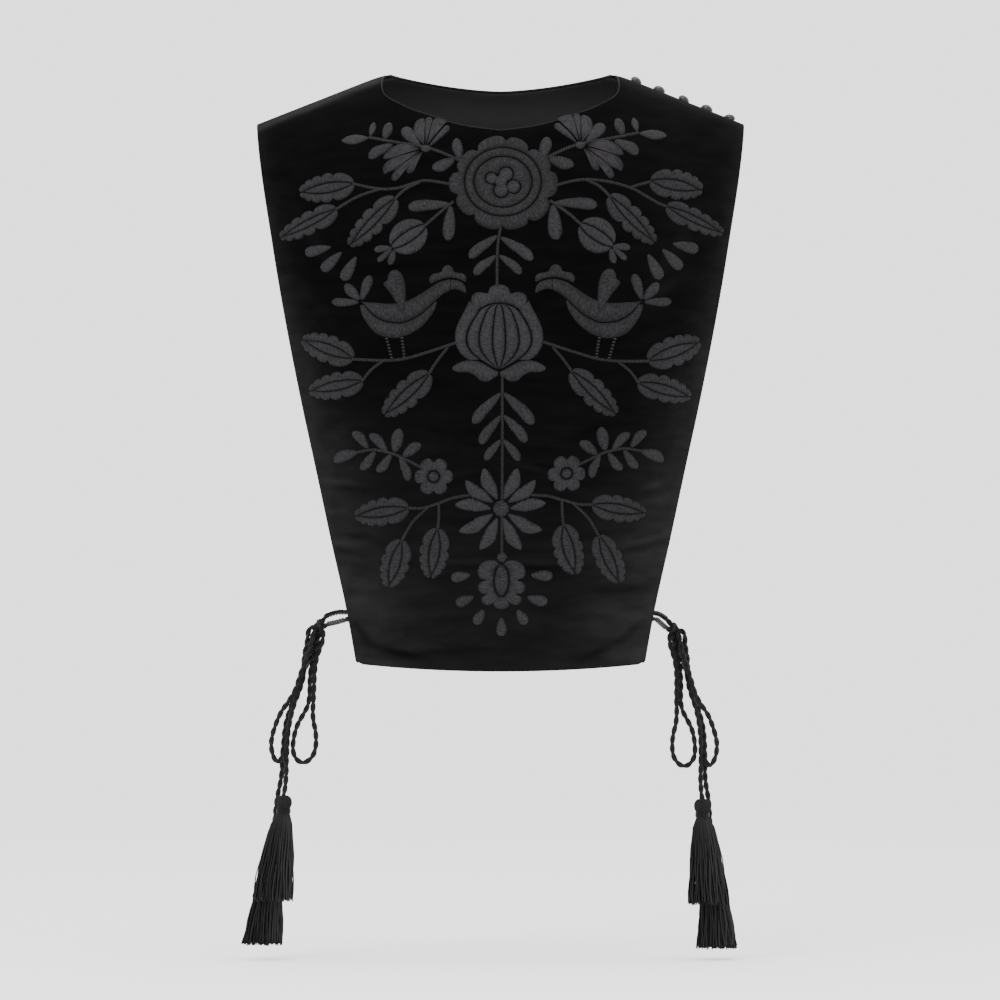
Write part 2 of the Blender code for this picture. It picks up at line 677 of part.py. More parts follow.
def embroidery():
    """Every motif as (polygon in chart squares, level), later ones over earlier ones."""
    half = []
    half += [scalloped_leaf(*row) for row in SCALLOPED_LEAVES]
    half += [lens_leaf(*row) for row in SMALL_LEAVES]
    half += [petal(*row) for row in PETALS]
    half += [ribbon(points, STEM_WIDTH, 1) for points in STEMS]
    half += [ribbon(points, LEG_WIDTH, 1) for points in LEGS]
    half += [ring_shape(out, down, r, r, 8) for out, down, r in BALLS]
    half += [BIRD_BODY, BIRD_WING, ring_shape(*BUD, 14, BUD_TURN), scalloped_round(*SPRIG_FLOWER)]
    whole = [(polygon, 1) for polygon in half]
    whole += [(mirrored(polygon), 1) for polygon in half]
    whole += [(ribbon(points, STEM_WIDTH, 1), 1) for points in CENTRE_STEMS]
    whole += [(ring_shape(out, down, r, r, 10), 1) for out, down, r in CENTRE_BALLS]
    whole += [(petal(*CENTRE_DROP), 1)]
    whole += [(scalloped_round(*ROSE), 1), (scalloped_round(*FOOT_FLOWER), 1)]
    whole += [(list(TULIP_HALF) + mirrored(TULIP_HALF[:0:-1]), 1)]
    rings = [ROSE[:2] + radii for radii in ROSE_RINGS] + [TULIP_RING, FOOT_RING, SPRIG_RING]
    rings += [(-SPRIG_RING[0],) + SPRIG_RING[1:]]
    for out, down, radius_out, radius_down in rings:
        steps = 8 if radius_out < 12.0 else 16
        whole += [(ring_shape(out, down, radius_out, radius_down, steps), 0)]
        whole += [(ring_shape(out, down, radius_out - GROOVE, radius_down - GROOVE, steps), 1)]
    return whole


def chart_to_cloth(polygon):
    """Chart squares to cloth coordinates of the front."""
    result = []
    for out, down in polygon:
        x = out * CHART_SQUARE
        z = CHART_TOP - down * CHART_SQUARE
        result.append((x, cloth_s(ridge_z(x) - z, FRONT_ROLL)))
    return result


# ---------------------------------------------------------------- cloth walls


def wall_mesh(name, front, outline, outer, inner, outer_offset, inner_offset, level_height=0.0):
    """A closed wall between two triangulated faces that share the panel's edge."""
    work = bmesh.new()

    def lay(flat, triangles, offset):
        made = {}

        def vertex(index, level):
            key = (index, level)
            if key not in made:
                x, s = flat[index]
                place = cloth_point(x, s, front) + cloth_normal(x, s, front) * (offset + level * level_height)
                made[key] = work.verts.new(place)
            return made[key]

        edges = {}
        for triangle, level in triangles:
            work.faces.new([vertex(i, level) for i in triangle])
            for a, b in zip(triangle, triangle[1:] + triangle[:1]):
                edges.setdefault((min(a, b), max(a, b)), []).append(level)
        for (a, b), levels in edges.items():
            if len(levels) == 2 and levels[0] != levels[1]:
                low, high = sorted(levels)
                work.faces.new([vertex(a, low), vertex(b, low), vertex(b, high), vertex(a, high)])
        return {tuple(round(c, 6) for c in flat[i]): v for (i, level), v in made.items() if level == 0}

    top = lay(*outer, outer_offset)
    bottom = lay(*inner, inner_offset)
    rim = [tuple(round(c, 6) for c in Vector(p)) for p in outline]
    for a, b in zip(rim, rim[1:] + rim[:1]):
        work.faces.new([top[a], top[b], bottom[b], bottom[a]])
    bmesh.ops.triangulate(work, faces=[f for f in work.faces if len(f.verts) > 3])
    return mesh_from_bmesh(name, work)


def build_cloth(collection):
    shapes = [(chart_to_cloth(polygon), level) for polygon, level in embroidery()]
    used = [p for polygon, _ in shapes for p in polygon]
    outline = panel_outline(True)
    plain = triangulate(outline, [], filling_points(outline, True, PLAIN_CLEARANCE))
    worked = triangulate(outline, shapes, filling_points(outline, True, MOTIF_CLEARANCE, used))
    mesh = wall_mesh("front_panel", True, outline, worked, plain, 0.0, -WALL, RAISED)
    add_object("front_panel", mesh, collection, VELVET)

    outline = panel_outline(False)
    plain = triangulate(outline, [], filling_points(outline, False, PLAIN_CLEARANCE))
    mesh = wall_mesh("back_panel", False, outline, plain, plain, 0.0, -WALL)
    add_object("back_panel", mesh, collection, VELVET)
    lining_face = -WALL - GAP
    mesh = wall_mesh("back_lining", False, outline, plain, plain, lining_face, lining_face - LINING)
    add_object("back_lining", mesh, collection, SATIN)


# ---------------------------------------------------------------- buttons


def button_places():
    for k in range(BUTTON_COUNT):
        x = BUTTON_FIRST_X + (BUTTON_LAST_X - BUTTON_FIRST_X) * k / (BUTTON_COUNT - 1)
        yield k + 1, x


def shoulder_frame(x, behind):
    """A point of the cloth at a depth behind the shoulder line, with its normal."""
    front = behind < 0.0
    low, high = 0.0, SHOULDER_REACH
    for _ in range(30):
        s = (low + high) / 2
        past = abs(cloth_point(x, s, front)[1] - ridge_y(x)) < abs(behind)
        low, high = (s, high) if past else (low, s)
    return cloth_point(x, low, front), cloth_normal(x, low, front)


def button_profile():
    """From the crown down over the dome, in under it and down the shank."""
    profile = [(0.0, BUTTON_LIFT + BUTTON_CROWN)]
    for k in range(1, DOME_STEPS + 1):
        turn = math.radians(90.0 * k / DOME_STEPS)
        rise = BUTTON_LIFT + BUTTON_RIM + (BUTTON_CROWN - BUTTON_RIM) * math.cos(turn)
        profile.append((BUTTON_RADIUS * math.sin(turn), rise))
    profile.append((BUTTON_RADIUS * 0.92, BUTTON_LIFT))
    profile.append((SHANK_RADIUS, BUTTON_LIFT))
    profile.append((SHANK_RADIUS, 0.0))
    profile.append((0.0, 0.0))
    return profile


def build_buttons(collection):
    """Domed buttons with a shank along the back's side of the shoulder line."""
    for number, x in button_places():
        place, normal = shoulder_frame(x, BUTTON_BEHIND)
        button = add_turned(f"shoulder_button_{number}", button_profile(), BUTTON_SIDES, collection, GLOSS)
        button.location = Vector(place + normal * GAP)
        button.rotation_mode = "QUATERNION"
        button.rotation_quaternion = Vector((0.0, 0.0, 1.0)).rotation_difference(Vector(normal))


def loop_route(x):
    """Out of the front's edge, round the shank and back, just above the cloth."""
    midway = BUTTON_BEHIND * 0.4
    across = [(-LOOP_HALF_WIDTH, -LOOP_START), (-LOOP_HALF_WIDTH, midway)]
    for k in range(5):
        a = math.radians(180.0 - 180.0 * k / 4)
        across.append((LOOP_HALF_WIDTH * math.cos(a), BUTTON_BEHIND + LOOP_HALF_WIDTH * math.sin(a)))
    across += [(LOOP_HALF_WIDTH, midway), (LOOP_HALF_WIDTH, -LOOP_START)]
    route = []
    for along, behind in across:
        place, normal = shoulder_frame(x + along, behind)
        route.append(place + normal * (LOOP_RADIUS + LOOP_LIFT))
    return route


# ---------------------------------------------------------------- cords, knots and tassels


def add_tube(name, points, radius, collection):
    curve = bpy.data.curves.new(name, "CURVE")
    curve.dimensions = "3D"
    spline = curve.splines.new("POLY")
    spline.points.add(len(points) - 1)
    for target, p in zip(spline.points, points):
        target.co = (*p, 1.0)
    curve.bevel_depth = radius
    curve.bevel_resolution = 2
    curve.use_fill_caps = True
    return add_object(name, curve, collection, CORD)


def tie_point(tie, out, depth, down):
    """From the knot in millimetres to the garment's frame."""
    _, side, knot_out, knot_z, lean = tie
    swing = lean * down
    return np.array((side * (knot_out + (out - swing) * 0.001), TIE_Y + depth * 0.001, knot_z - down * 0.001))


def edge_exit(side, front):
    """Where a tie leaves the side edge of a panel, and its direction out of it."""
    height = TIE_Z_FRONT if front else TIE_Z_BACK
    roll = FRONT_ROLL if front else BACK_ROLL
    x = HEM_HALF
    for _ in range(8):
        x = side_x(cloth_s(ridge_z(x) - height, roll), front)
    s = cloth_s(ridge_z(x) - height, roll)
    normal = cloth_normal(side * x, s, front)
    thickness = WALL if front else WALL + GAP + LINING
    middle = cloth_point(side * x, s, front) - normal * thickness / 2
    above = cloth_point(side * side_x(s - EXIT_RUN, front), s - EXIT_RUN, front)
    below = cloth_point(side * side_x(s + EXIT_RUN, front), s + EXIT_RUN, front)
    out = np.cross(below - above, normal)
    out *= side * np.sign(out[0]) / np.linalg.norm(out)
    return middle, out


def strand_route(tie, front):
    """From a panel's edge to the side of the knot."""
    side = tie[1]
    start, out = edge_exit(side, front)
    start = start + out * GAP
    end = tie_point(tie, *STRAND_ENDS[0 if front else 1])
    middle = (start + end) / 2 + np.array((side * 0.002, 0.0, STRAND_RISE))
    path = smooth_path([start + out * EXIT_RUN, middle, end], 12)
    return [start] + list(respaced(path, CORD_STEP))


def tassel_strands(swing, deep_swing):
    """The threads of a tassel as thick three-sided strands that spread and swing, from the head's top."""
    work = bmesh.new()
    root_z = -(TASSEL_HEAD[-1][1] - STRAND_SINK) * 0.001
    for ring_number, (count, root, end_across, end_deep) in enumerate(STRAND_RINGS):
        for k in range(count):
            a = 2 * math.pi * (k + 0.37 * ring_number) / count
            trim = 1.0 + 0.018 * math.sin(2.7 * k + ring_number)
            sections = []
            for t in (0.0, 0.5, 1.0):
                spread = t**0.8
                wave = 0.7 * math.sin(3.0 * t + 2.4 * k) * t
                across = (root + (end_across - root) * spread) * math.cos(a) + swing * t + wave
                deep = (root + (end_deep - root) * spread) * math.sin(a) + deep_swing * t
                size = STRAND_ROOT + (STRAND_END - STRAND_ROOT) * min(1.0, t / 0.7)
                z = root_z - t * (TASSEL_LENGTH + root_z) * trim
                centre = np.array((across * 0.001, deep * 0.001, z))
                turns = [a + 2 * math.pi * corner / 3 for corner in range(3)]
                spokes = [np.array((math.cos(turn), math.sin(turn), 0.0)) for turn in turns]
                sections.append([work.verts.new(centre + size * spoke) for spoke in spokes])
            for low, high in zip(sections[1:], sections):
                for j in range(3):
                    work.faces.new([low[j], low[(j + 1) % 3], high[(j + 1) % 3], high[j]])
            work.faces.new(sections[0])
            work.faces.new(sections[-1][::-1])
    return mesh_from_bmesh("tassel_strands", work)


def build_tassel(tie, row, collection, cutters):
    """A bound head turned about Z, with the strands joined into it."""
    label, out, depth, down, swing, deep_swing = row
    name, side, _, _, lean = tie
    place = Vector(tie_point(tie, out, depth, down))
    profile = [(0.0, 0.0)]
    profile += [(radius * 0.001, -below * 0.001) for radius, below in TASSEL_HEAD]
    profile += [(0.0, -TASSEL_HEAD[-1][1] * 0.001)]
    tassel = add_turned(f"tassel_{label}_{name}", profile, HEAD_SIDES, collection, CORD)
    tassel.location = place
    lean_swing = lean * TASSEL_LENGTH * 1000
    mesh = tassel_strands(side * (swing - lean_swing), deep_swing)
    strands = add_object(f"strands_{label}_{name}", mesh, cutters, CORD)
    strands.location = place
    strands.hide_render = True
    strands.display_type = "WIRE"
    union = tassel.modifiers.new("strands", "BOOLEAN")
    union.operation = "UNION"
    union.object = strands
    union.solver = "EXACT"


def build_ties(collection, cutters):
    routes = (
        ("inner_loop", INNER_LOOP),
        ("outer_loop", OUTER_LOOP),
        ("front_tail", FRONT_TAIL),
        ("back_tail", BACK_TAIL),
    )
    for tie in TIES:
        name = tie[0]
        for front, label in ((True, "front"), (False, "back")):
            add_tube(f"tie_{label}_strand_{name}", strand_route(tie, front), CORD_RADIUS, collection)
        for label, route in routes:
            path = smooth_path([tie_point(tie, *row) for row in route], 8)
            add_tube(f"tie_{label}_{name}", respaced(path, CORD_STEP), CORD_RADIUS, collection)
        build_knot(tie, collection)
        for row in TASSELS:
            build_tassel(tie, row, collection, cutters)


def build_knot(tie, collection):
    """The crossing of the bow as one rounded body, a little square."""
    work = bmesh.new()
    bmesh.ops.create_uvsphere(work, u_segments=12, v_segments=8, radius=1.0)
    for vertex in work.verts:
        largest = max(abs(c) for c in vertex.co)
        vertex.co = vertex.co * (1.0 - KNOT_SQUARE + KNOT_SQUARE / largest)
    bmesh.ops.scale(work, vec=Vector(KNOT_RADII), verts=work.verts)
    knot = add_object(f"tie_knot_{tie[0]}", mesh_from_bmesh("knot", work), collection, CORD)
    knot.location = Vector(tie_point(tie, 0.0, 0.0, 0.0))


def main():
    for old in list(bpy.data.objects):
        bpy.data.objects.remove(old, do_unlink=True)
    collection = bpy.data.collections.new(COLLECTION)
    cutters = bpy.data.collections.new("cutters")
    bpy.context.scene.collection.children.link(collection)
    bpy.context.scene.collection.children.link(cutters)
    build_cloth(collection)
    build_buttons(collection)
    for number, x in button_places():
        path = respaced(smooth_path(loop_route(x), 4), LOOP_STEP)
        add_tube(f"button_loop_{number}", path, LOOP_RADIUS, collection)
    build_ties(collection, cutters)


main()
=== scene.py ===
"""Looks of an embroidered folk vest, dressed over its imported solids.

Metres, +Z up, in the frame of the solids: the front faces -Y, and the origin lies between the shoulder lines.
The cloth is worked out in its own coordinates, x across and s down over the shoulder along the cloth.
"""

from math import cos, hypot, pi, radians, sin

import bpy
import numpy as np
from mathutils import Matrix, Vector
from mathutils.geometry import delaunay_2d_cdt


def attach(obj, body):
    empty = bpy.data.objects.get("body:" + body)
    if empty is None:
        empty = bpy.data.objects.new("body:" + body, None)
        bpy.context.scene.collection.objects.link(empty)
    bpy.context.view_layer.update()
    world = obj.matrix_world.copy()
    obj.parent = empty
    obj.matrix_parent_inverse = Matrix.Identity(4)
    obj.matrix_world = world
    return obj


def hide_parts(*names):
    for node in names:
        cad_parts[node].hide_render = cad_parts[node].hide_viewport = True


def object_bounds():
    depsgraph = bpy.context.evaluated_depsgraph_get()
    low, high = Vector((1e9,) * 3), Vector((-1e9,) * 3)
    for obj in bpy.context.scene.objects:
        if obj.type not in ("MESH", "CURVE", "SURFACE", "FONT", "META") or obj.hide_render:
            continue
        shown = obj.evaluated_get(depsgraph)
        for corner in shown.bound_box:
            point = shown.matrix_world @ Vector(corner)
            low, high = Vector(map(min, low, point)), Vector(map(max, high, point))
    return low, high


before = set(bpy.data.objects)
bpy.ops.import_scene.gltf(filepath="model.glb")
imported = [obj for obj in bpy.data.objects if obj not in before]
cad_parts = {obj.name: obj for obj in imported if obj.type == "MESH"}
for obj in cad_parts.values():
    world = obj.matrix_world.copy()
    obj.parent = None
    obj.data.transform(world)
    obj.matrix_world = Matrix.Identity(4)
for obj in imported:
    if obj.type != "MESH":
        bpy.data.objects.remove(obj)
CAD_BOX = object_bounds()
MM = 0.001

# ---- sizes of the cloth, as cut

SHOULDER_HALF = 0.195
NECK_HALF = 0.091
SHOULDER_DROP = 0.0416
RIDGE_ROUNDING = 0.005
NECK_POINT_Z = SHOULDER_DROP / 2
HEM_Z = -0.4559
HEM_HALF = 0.115
HEM_RISE = 0.0055
HEM_CORNER = 0.0025
BACK_TRIM = 0.003
BACK_NECK_Z = 0.0088
BACK_NECK_POWER = 1.6
WALL = 0.0020
LINING = 0.0010
GAP = 0.0003
ROLL = {True: 0.070, False: 0.080}  # of the front and the back, over the shoulder
RIDGE_LEAN = 0.006
SECTION_POWER = 2.3

SIDE_EDGE = (
    # height, half width
    (0.03, 0.196), (-0.0208, 0.195), (-0.12, 0.1815), (-0.24, 0.1592), (-0.3, 0.1462), (-0.3524, 0.135),
    (-0.4069, 0.1228), (-0.47, 0.1115),
)
FIGURE = (
    # height, chest depth, back depth, half width
    (0.04, 0.05, 0.074, 0.216), (-0.01, 0.065, 0.086, 0.215), (-0.06, 0.082, 0.094, 0.212),
    (-0.12, 0.101, 0.1, 0.205), (-0.19, 0.113, 0.1, 0.196), (-0.27, 0.109, 0.09, 0.183),
    (-0.35, 0.1, 0.081, 0.169), (-0.42, 0.096, 0.079, 0.156), (-0.48, 0.097, 0.083, 0.15),
)
FRONT_NECK = (
    # across, down
    (0.091, 0), (0.0942, 0.03), (0.0912, 0.0515), (0.0755, 0.0659), (0.0575, 0.0742), (0.031, 0.0836),
    (0, 0.0884),
)

# Troughs and ridges in millimetres: across, height, half length, half width, depth outward, turn in degrees
FRONT_FOLDS = (
    (-85, -330, 60, 16, -2.2, 8), (-70, -395, 70, 18, -2.6, -6), (90, -310, 55, 17, -2.2, -10),
    (78, -385, 65, 18, -2.4, 7), (-10, -425, 80, 16, 1.8, 2), (-112, -276, 34, 5.5, -0.8, 4),
    (-104, -298, 40, 6, 0.7, -7), (-116, -352, 26, 5, -0.9, 10), (-96, -368, 38, 6, 0.8, -3),
    (-60, -352, 30, 5.5, -0.7, -12), (-34, -372, 42, 6, 0.7, 5), (24, -378, 48, 5.5, -0.8, -4),
    (66, -350, 36, 5.5, 0.8, 12), (104, -352, 30, 5, -0.9, -8), (126, -268, 26, 5.5, 0.8, 9),
    (118, -292, 36, 6, -0.8, -6), (90, -268, 28, 5, -0.6, -22), (100, -424, 34, 6, -1.3, -38),
    (112, -406, 26, 5, 1, -44), (-104, -430, 28, 6, -1, 30), (-62, -438, 36, 6.5, 0.9, -5),
    (-60, -420, 18, 7, -1, 18), (44, -440, 44, 6.5, -0.8, 3), (0, -330, 30, 5, 0.5, 0),
    (-150, -110, 40, 8, -0.7, -60), (152, -126, 44, 8, -0.7, 62), (130, -160, 30, 6, 0.6, 40),
)
BACK_FOLDS = (
    (-70, -300, 60, 14, -2, 6), (80, -330, 55, 15, -2.2, -8), (10, -372, 80, 14, -1.8, 2),
    (-90, -390, 45, 10, 1.4, -10), (94, -402, 40, 9, 1.3, 12), (-40, -250, 40, 8, 0.8, 14),
    (50, -272, 36, 7.5, -0.9, -12), (-112, -340, 30, 6.5, -1, 4), (116, -290, 30, 7, 0.9, -6),
    (0, -430, 70, 9, -0.9, -2), (-146, -120, 50, 10, -1, -62), (148, -130, 50, 10, -1, 60),
)


# ---- small tools


def share(x):
    return np.clip(x, 0, 1)


def crown(u, power):
    """1 in the middle and 0 at -1 and 1, squarer with a higher power."""
    return np.sqrt(share(1 - np.abs(u) ** power))


def angles(count):
    return 2 * pi * np.arange(count) / count


def circle(a):
    return np.stack([np.cos(a), np.sin(a)], axis=1)


def stacked(*columns):
    """Columns of numbers side by side, spread to one shape."""
    return np.stack(np.broadcast_arrays(*columns), axis=-1)


def columns_at(table, at):
    """Every further column of a table, read at places along its first one."""
    first, *others = np.array(table).T
    return [np.interp(at, first, values) for values in others]


def unit(vectors):
    return vectors / np.linalg.norm(vectors, axis=-1, keepdims=True)


def left_of(along):
    """Unit normals in the plane, to the left of the steps along a line."""
    along = unit(along)
    return np.stack([-along[:, 1], along[:, 0]], axis=1)


def signed_area(polygon):
    following = np.roll(polygon, -1, axis=0)
    return np.sum(polygon[:, 0] * following[:, 1] - following[:, 0] * polygon[:, 1])


def run_along(path):
    return np.concatenate([[0.0], np.cumsum(np.linalg.norm(np.diff(path, axis=0), axis=1))])


def length_of(path):
    return float(np.linalg.norm(np.diff(np.array(path), axis=0), axis=1).sum())


def smooth_path(points, per_span):
    """A Catmull-Rom curve through the points."""
    points = np.array(points, float)
    first, last = 2 * points[0] - points[1], 2 * points[-1] - points[-2]
    whole = np.vstack([[first], points, [last]])
    a, b, c, d = whole[:-3], whole[1:-2], whole[2:-1], whole[3:]
    path = []
    for k in range(per_span):
        t = k / per_span
        path.append(0.5 * (2 * b + (c - a) * t + (2 * a - 5 * b + 4 * c - d) * t**2
                           + (3 * b - 3 * c + d - a) * t**3))
    path = np.stack(path, axis=1).reshape(-1, points.shape[1])
    return np.vstack([path, points[-1:]])


def respaced(path, count):
    """The given number of points at even steps along a path."""
    along = run_along(path)
    at = np.linspace(0.0, along[-1], count)
    return np.stack([np.interp(at, along, path[:, k]) for k in range(path.shape[1])], axis=1)


# ---- form of the worn cloth


def column(table, index, at):
    """Reads one column of a table at heights, by a smooth curve through its rows."""
    rows = np.array(table[::-1])
    heights, values = rows[:, 0], rows[:, index]
    slopes = np.gradient(values, heights)
    i = np.clip(np.searchsorted(heights, at) - 1, 0, len(rows) - 2)
    span = heights[i + 1] - heights[i]
    t = (at - heights[i]) / span
    rise = 3 * t**2 - 2 * t**3
    return ((1 - rise) * values[i] + rise * values[i + 1]
            + span * ((t**3 - 2 * t**2 + t) * slopes[i] + (t**3 - t**2) * slopes[i + 1]))


def ridge_z(x):
    """Height of the shoulder line, carried on level across the neck."""
    slope = SHOULDER_DROP / (SHOULDER_HALF - NECK_HALF)
    past = (np.abs(x) - NECK_HALF) / RIDGE_ROUNDING
    return NECK_POINT_Z - slope * RIDGE_ROUNDING * np.logaddexp(0.0, past)


def ridge_y(x):
    t = (np.abs(x) - NECK_HALF) / (SHOULDER_HALF - NECK_HALF)
    return RIDGE_LEAN * (1 - 2 * np.clip(t, -0.5, 1.2))


def folds_at(table, x, z):
    """The sum of a table's troughs and ridges, in the unit of its fifth column."""
    total = np.zeros_like(x)
    for across, height, half_length, half_width, depth, turn in table:
        c, s = cos(radians(turn)), sin(radians(turn))
        right, up = x / MM - across, z / MM - height
        along = (c * right + s * up) / half_length
        over = (c * up - s * right) / half_width
        total = total + depth * np.exp(-along * along - over * over)
    return total


def drop_at(s, roll):
    """How far the cloth has dropped at s, and how far it has turned down, from 0 to 1."""
    over = np.minimum(s / roll, pi / 2)
    return roll * (1 - np.cos(over)) + np.maximum(0, s - roll * pi / 2), np.sin(over)


def cloth_s(drop, roll):
    return roll * np.arccos(np.clip(1 - drop / roll, 0, 1)) + np.maximum(0, drop - roll)


def cloth_point(x, s, front):
    """Points of the velvet's outer face."""
    drop, fall = drop_at(s, ROLL[front])
    z = ridge_z(x) - drop
    bulge = np.sqrt(np.maximum(0, 1 - np.abs(x / column(FIGURE, 3, z)) ** SECTION_POWER))
    folds = folds_at(FRONT_FOLDS if front else BACK_FOLDS, x, z)
    reach = column(FIGURE, 1 if front else 2, z) * bulge + MM * folds
    way = -1 if front else 1
    y = ridge_y(x) + way * GAP / 2 + (way * reach - ridge_y(x)) * fall
    return np.stack([x, y, z], axis=-1)


def cloth_normal(x, s, front):
    e = 0.0004
    dx = cloth_point(x + e, s, front) - cloth_point(x - e, s, front)
    ds = cloth_point(x, s + e, front) - cloth_point(x, s - e, front)
    return unit(np.cross(ds, dx) if front else np.cross(dx, ds))


def on_cloth(x, s, front, lift):
    return cloth_point(x, s, front) + cloth_normal(x, s, front) * np.asarray(lift, float)[..., None]


def side_x(s, front):
    """Half width of a panel along its side edge."""
    drop = drop_at(s, ROLL[front])[0]
    x = np.full_like(s, SHOULDER_HALF)
    for _ in range(8):
        x = column(SIDE_EDGE, 1, ridge_z(x) - drop)
    return x if front else x - BACK_TRIM * np.minimum(1, s / ROLL[front])


def hem_s(x, front):
    z = HEM_Z + HEM_RISE * (x / HEM_HALF) ** 2 + (0 if front else BACK_TRIM)
    return cloth_s(ridge_z(x) - z, ROLL[front])


# ---- materials


def node(tree, kind, inputs=None, **settings):
    """A shader node, with its inputs as values or as sockets to link."""
    made = tree.nodes.new(kind)
    for key, value in settings.items():
        setattr(made, key, value)
    for key, value in (inputs or {}).items():
        if isinstance(value, bpy.types.NodeSocket):
            tree.links.new(value, made.inputs[key])
        else:
            made.inputs[key].default_value = value
    return made


def new_material(name, roughness, specular, sheen=0.0, sheen_roughness=0.4, coat=0.0):
    material = bpy.data.materials.new(name)
    material.use_nodes = True
    shader = material.node_tree.nodes["Principled BSDF"]
    looks = {"Roughness": roughness, "Specular IOR Level": specular, "Sheen Weight": sheen,
             "Sheen Roughness": sheen_roughness, "Coat Weight": coat}
    for socket, value in looks.items():
        shader.inputs[socket].default_value = value
    return material, material.node_tree, shader


def finish_material(tree, shader, colour, height, strength, distance):
    bump = node(tree, "ShaderNodeBump", {"Height": height, "Strength": strength, "Distance": distance})
    tree.links.new(colour, shader.inputs["Base Color"])
    tree.links.new(bump.outputs["Normal"], shader.inputs["Normal"])


def mixed(tree, factor, dark, light):
    mix = node(tree, "ShaderNodeMix", {"Factor": factor}, data_type="RGBA")
    mix.inputs[6].default_value = (*dark, 1.0)
    mix.inputs[7].default_value = (*light, 1.0)
    return mix.outputs[2]


def math_node(tree, operation, a, b, clamp=False):
    return node(tree, "ShaderNodeMath", {0: a, 1: b}, operation=operation, use_clamp=clamp).outputs[0]


def summed(tree, *terms, less=0, clamp=False):
    """The sum of sockets, each times its factor, less a constant."""
    total = None
    for socket, factor in terms:
        term = socket if factor == 1 else math_node(tree, "MULTIPLY", socket, factor)
        total = term if total is None else math_node(tree, "ADD", total, term)
    return math_node(tree, "SUBTRACT", total, less, clamp) if less else total


def noise(tree, vector, scale, detail=3.0, rough=0.5):
    inputs = {"Vector": vector, "Scale": scale, "Detail": detail, "Roughness": rough}
    return node(tree, "ShaderNodeTexNoise", inputs).outputs["Fac"]


def place_of(tree):
    return node(tree, "ShaderNodeTexCoord").outputs["Object"]


def stretched(tree, vector, scale):
    return node(tree, "ShaderNodeVectorMath", {0: vector, 1: scale}, operation="MULTIPLY").outputs[0]


def velvet_material():
    """Cotton velvet: a deep black pile, its colour lightened by painted sheen and painted highlights and
    darkened by painted crease shade, read from a point attribute.
    """
    material, tree, shader = new_material("black_velvet", 0.9, 0.02, sheen=0.02, sheen_roughness=0.35)
    shader.inputs["Sheen Tint"].default_value = (0.62, 0.62, 0.66, 1.0)
    place = place_of(tree)
    # painted light: per-point painted sheen, highlights and crease shade, which sets how light the velvet is
    painted_light = node(tree, "ShaderNodeAttribute", attribute_name="painted_light").outputs["Fac"]
    cloud = noise(tree, place, 24.0, 4.0, 0.6)
    brushed = noise(tree, stretched(tree, place, (24.0, 80.0, 120.0)), 1.0)
    uneven = summed(tree, (cloud, 0.5), (brushed, 0.9), less=0.7)
    reach = math_node(tree, "ADD", math_node(tree, "MULTIPLY", painted_light, 1.1), 0.10)
    factor = math_node(tree, "ADD", painted_light, math_node(tree, "MULTIPLY", uneven, reach), True)
    colour = mixed(tree, factor, (0.00030, 0.00034, 0.00044), (0.0118, 0.0117, 0.0122))
    height = summed(tree, (noise(tree, place, 2300.0, 2.0), 1), (noise(tree, place, 160.0), 1.6))
    finish_material(tree, shader, colour, height, 0.35, 0.0004)
    return material


def satin_material():
    """Satin lining: a fine weave with a soft gloss."""
    material, tree, shader = new_material("dark_satin", 0.45, 0.20, sheen=0.03)
    shader.inputs["Anisotropic"].default_value = 0.4
    place = place_of(tree)
    cloud = noise(tree, place, 30.0)
    warp = noise(tree, stretched(tree, place, (5200.0, 5200.0, 700.0)), 1.0, 1.0)
    colour = mixed(tree, cloud, (0.0034, 0.0031, 0.0033), (0.0052, 0.0048, 0.0051))
    finish_material(tree, shader, colour, summed(tree, (warp, 0.6), (cloud, 1)), 0.15, 0.0003)
    return material


# painted shade: how much darker a thread is painted where it goes down into the cloth, at its rims and in the
# grooves between stitches
SUNK_PAINTED_SHADE = 0.62  # how much darker a thread is where it goes down into the cloth


THREAD_LOOKS = {
    # dark, light, roughness, pitch across the threads, run along them, strength of the bump
    "grey_thread": ((0.0008, 0.0007, 0.0010), (0.0138, 0.0122, 0.0146), 0.7, 0.0017, 0.007, 0.9),
    "loop_braid": ((0.0015, 0.0015, 0.0016), (0.0040, 0.0040, 0.0042), 0.6, 0.0004, 0.003, 0.5),
    "black_cord": ((0.0008, 0.0008, 0.0009), (0.0078, 0.0076, 0.0080), 0.5, 0.0006, 0.003, 0.7),
    "tassel_thread": ((0.0005, 0.0005, 0.0006), (0.0108, 0.0106, 0.0111), 0.5, 0.0011, 0.016, 0.5),
    "neck_edge": ((0.0010, 0.0009, 0.0010), (0.0030, 0.0028, 0.0030), 0.6, 0.0006, 0.004, 0.4),
    "back_neck_edge": ((0.0010, 0.0010, 0.0011), (0.0024, 0.0024, 0.0026), 0.8, 0.0006, 0.004, 0.4),
}


